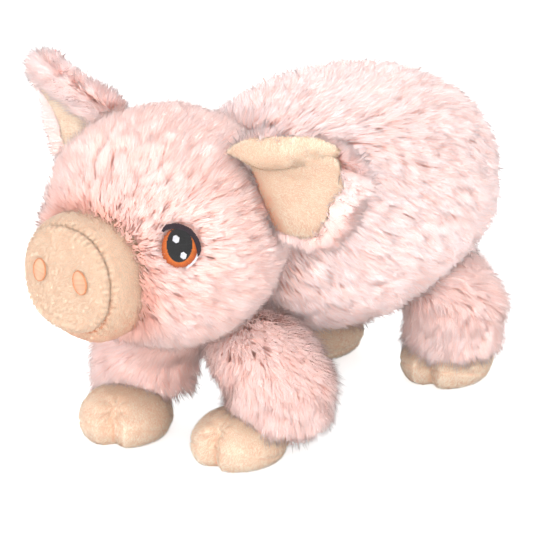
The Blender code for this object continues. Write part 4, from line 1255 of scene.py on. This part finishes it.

# Legs: fur sleeves that are sewn to the torso round their tops. The pile hangs down and
# hides the seam to the trotter.
LEG_STRANDS = 18000
SLEEVE_HIDDEN_DEPTH = 0.005
SLEEVE_TURN = 0.015
SLEEVE_OUT = 1.0
SLEEVE_OUT_BELOW = 0.15
SLEEVE_ALONG = 0.6
HEM_DROP = 0.008
LEG_WARMTH = 0.38
# Painted shade: the legs' pile is deeper salmon on the inner sides, which face the belly.
LEG_INNER_SHADE = 0.2
SHOULDER_LEAN = 1.0
SHOULDER_START = 0.008
for leg in LEGS:
    hip = joints[f"leg_{leg}"]
    skin = sewn_form(f"leg_skin_{leg}", [f"leg_cover_{leg}"], CLOTH_GRAIN, hull=True)
    drawn_in(skin, BACKING_DEPTH)
    puffed(skin, PUFF_PRESSURE, PUFF_LIMIT)
    co = array_of(skin.data.vertices, "co", 3)
    drop = hip.z - co[:, 2].min()
    reach = (drop + HEM_DROP) / drop
    co[:, 2] = np.where(co[:, 2] < hip.z, hip.z + (co[:, 2] - hip.z) * reach, co[:, 2])
    co[:, 0] -= np.sign(hip.x) * SHOULDER_LEAN * np.maximum(0, co[:, 2] - hip.z + SHOULDER_START)
    reshaped(skin, co)
    skin.data.materials.append(backing)
    rng = np.random.default_rng(51)
    spots, ways = planted(skin, LEG_STRANDS, rng)

    def downwards(spots, ways):
        """The leg's pile is combed down, and at its top also outwards and away from the belly."""
        low = np.clip((hip.z - spots[:, 2]) / SLEEVE_TURN, 0, 1)
        outwards = SLEEVE_OUT * (1 - low) + SLEEVE_OUT_BELOW * low
        lengthwise = SLEEVE_ALONG * np.sign(hip.y) * (1 - low)
        return np.column_stack((outwards * np.sign(hip.x), lengthwise, np.full(len(spots), -1.0)))

    shown = in_the_open(spots, ["torso_cover"], SLEEVE_HIDDEN_DEPTH)
    shown &= in_the_open(spots, ["head_cover"], HIDDEN_DEPTH)

    def leg_tone_and_inner_shade(spots, ways):
        """The leg's pile is rosier all over, with painted shade in deeper salmon on its inner side."""
        return LEG_WARMTH + LEG_INNER_SHADE * np.clip(-ways[:, 0] * np.sign(hip.x), 0, 1)

    leg_fur = combed_pile(f"leg_fur_{leg}", spots[shown], ways[shown], downwards, rng, fur, warmth=leg_tone_and_inner_shade)
    for piece in (skin, leg_fur):
        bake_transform(piece)
    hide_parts(f"leg_cover_{leg}", f"leg_stuffing_{leg}")

# Trotters: stuffed short-pile feet. A stitch in front draws the cloth to a pucker, from which a
# crease runs down between the two toes, and a seam joins the upper to the sole.
TROTTERS = {  # middle, and turn of the toes towards the pig's left
    "front_left": (0.028, -0.0455, radians(4)), "front_right": (-0.028, -0.0585, radians(24)),
    "hind_left": (0.033, 0.0880, radians(14)), "hind_right": (-0.033, 0.0725, radians(-14))}
TROTTER_GRAIN = 0.0015
TROTTER_SMOOTHING_ROUNDS = 3
TROTTER_PUFF_LIMIT = 0.0008
PUCKER_FORWARD = 0.0172
PUCKER_HEIGHT = 0.0180
PUCKER_PULL = 0.0026
PUCKER_REACH = 0.0028
WRINKLES = 7
WRINKLE_TURN = 0.8
WRINKLE_PLACE = 0.0045
WRINKLE_REACH = 0.0035
WRINKLE_DEPTH = 0.0008
CREASE_DEPTH = 0.0016
CREASE_HALF_WIDTH = 0.0010
CREASE_START = 0.012
CREASE_FADE = 0.004
CREASE_FOOT = 0.004
CREASE_TOP = 0.001
CREASE_TOP_FADE = 0.002
SOLE_SEAM_DEPTH = 0.0009
SOLE_SEAM_HALF_WIDTH = 0.0007
SOLE_SEAM_HEIGHT = 0.0050
SOLE_SEAM_RISE = 0.0065
TOE_REACH = 0.022
SOLE_EDGE = 0.002
SOLE_REST = 0.0001
FLOOR_ROOM = 0.0012
TROTTER_COMB = (0.8, -0.4)  # forward and up
# Painted shade on the trotters' nap: deep orange in the pucker, wrinkles, crease and sole seam, and warmer up
# under the leg's pile.
HEM_SHADE = 0.45
HEM_HEIGHTS = (0.008, 0.018)  # where the painted shade below the hem starts, and over what rise it grows
HEM_FRONT = (0.008, 0.012)
HEM_FRONT_LEAST = 0.3
PUCKER_SHADE = 0.85
PUCKER_SHADE_REACH = 0.0024
WRINKLE_SHADE = 0.75
WRINKLE_SHADE_REACH = 0.0038
CREASE_SHADE_HALF_WIDTH = 0.0011
SOLE_SEAM_SHADE = 0.62
SOLE_SEAM_SHADE_HALF_WIDTH = 0.0009
for leg, (x, y, turn) in TROTTERS.items():
    forward = np.array((sin(turn), -cos(turn), 0))
    aside = np.array((cos(turn), sin(turn), 0))
    foot = sewn_form(
        f"trotter_{leg}", [f"foot_{leg}"], TROTTER_GRAIN, hull=False, rounds=TROTTER_SMOOTHING_ROUNDS)
    puffed(foot, PUFF_PRESSURE, TROTTER_PUFF_LIMIT)
    round_off = foot.modifiers.new("Round off", "SUBSURF")
    round_off.levels = 1
    as_seen(foot)
    foot.data.shade_smooth()

    def on_foot(spots):
        """How far ahead, aside and up, how far from the pucker and which way, and how high the seam is."""
        place = spots - np.array((x, y, 0))
        f, s, z = place @ forward, place @ aside, spots[:, 2]
        gap = np.sqrt((f - PUCKER_FORWARD) ** 2 + s ** 2 + (z - PUCKER_HEIGHT) ** 2)
        around = np.arctan2(z - PUCKER_HEIGHT, s)
        return f, s, z, gap, around, SOLE_SEAM_HEIGHT + SOLE_SEAM_RISE * np.clip(f / TOE_REACH, 0, 1)

    co = array_of(foot.data.vertices, "co", 3)
    normals = array_of(foot.data.vertex_normals, "vector", 3)
    f, s, z, gap, around, seam = on_foot(co)
    pull = PUCKER_PULL * np.exp(-(gap / PUCKER_REACH) ** 2)
    near = np.exp(-((gap - WRINKLE_PLACE) / WRINKLE_REACH) ** 2)
    pull += WRINKLE_DEPTH * np.cos(WRINKLES * around + WRINKLE_TURN) * near
    in_height = np.clip((z - CREASE_FOOT) / CREASE_FADE, 0, 1)
    in_height *= np.clip((PUCKER_HEIGHT + CREASE_TOP - z) / CREASE_TOP_FADE, 0, 1)
    ahead = np.clip((f - CREASE_START) / CREASE_FADE, 0, 1)
    pull += CREASE_DEPTH * np.exp(-(s / CREASE_HALF_WIDTH) ** 2) * ahead * in_height
    pull += SOLE_SEAM_DEPTH * np.exp(-((z - seam) / SOLE_SEAM_HALF_WIDTH) ** 2) * (z > SOLE_EDGE)
    after = co - normals * pull[:, None]
    after[:, 2] = np.maximum(after[:, 2], SOLE_REST)
    reshaped(foot, after)
    foot.data.materials.append(short_pile)
    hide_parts(f"foot_{leg}")

    def toewards(spots, ways):
        """The trotter's nap is brushed forward and down."""
        return np.tile(forward * TROTTER_COMB[0] + np.array((0, 0, TROTTER_COMB[1])), (len(spots), 1))

    def foot_painted_shade(spots, ways):
        """Painted shade: the nap is deep orange in the pucker, wrinkles, crease and seam, and warmer up under
        the leg's pile.
        """
        f, s, z, gap, around, seam = on_foot(spots)
        warm = HEM_SHADE * np.clip((z - HEM_HEIGHTS[0]) / HEM_HEIGHTS[1], 0, 1)
        warm *= np.clip(1 - (f - HEM_FRONT[0]) / HEM_FRONT[1], HEM_FRONT_LEAST, 1)
        warm = np.maximum(warm, PUCKER_SHADE * np.exp(-(gap / PUCKER_SHADE_REACH) ** 2))
        wrinkle = np.clip(np.cos(WRINKLES * around + WRINKLE_TURN), 0, 1) ** 2
        wrinkle *= np.exp(-((gap - WRINKLE_PLACE) / WRINKLE_SHADE_REACH) ** 2)
        warm = np.maximum(warm, WRINKLE_SHADE * wrinkle * (f > 0))
        crease = np.exp(-(s / CREASE_SHADE_HALF_WIDTH) ** 2) * np.clip((f - CREASE_START) / CREASE_FADE, 0, 1)
        warm = np.maximum(warm, WRINKLE_SHADE * crease * (z < PUCKER_HEIGHT))
        return np.maximum(
            warm, SOLE_SEAM_SHADE * np.exp(-((z - seam) / SOLE_SEAM_SHADE_HALF_WIDTH) ** 2))

    def above_floor(spots, ways):
        """No nap grows on the sole."""
        return spots[:, 2] > FLOOR_ROOM

    nap = napped(
        foot, f"trotter_pile_{leg}", toewards, 61, shown=above_floor, warmth=foot_painted_shade, material=brightened_nap)
    for part in (foot, nap):
        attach(part, f"leg_{leg}")

# Tail: a short curled tube of the same fur, clipped close, sewn on at the rump.
TAIL_STRANDS = 5000
TAIL_PILE = 0.0035
TAIL_GRAIN = 0.0008
TAIL_SMOOTHING_ROUNDS = 3
TAIL_BACKING_DEPTH = 0.0008
TAIL_COMB_BACK = 0.004
tail_skin = sewn_form("tail_skin", ["tail"], TAIL_GRAIN, hull=False, rounds=TAIL_SMOOTHING_ROUNDS)
drawn_in(tail_skin, TAIL_BACKING_DEPTH)
tail_skin.data.materials.append(backing)
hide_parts("tail")
rng = np.random.default_rng(71)
spots, ways = planted(tail_skin, TAIL_STRANDS, rng)


def along_tail(spots, ways):
    """The tail's pile is combed round its curl and outwards."""
    off = spots - np.array(joints["tail"])
    return np.column_stack((-off[:, 2], np.full(len(spots), TAIL_COMB_BACK), off[:, 0]))


tail_fur = combed_pile("tail_fur", spots, ways, along_tail, rng, fur, length=TAIL_PILE)
for part in (tail_skin, tail_fur):
    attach(part, "tail")
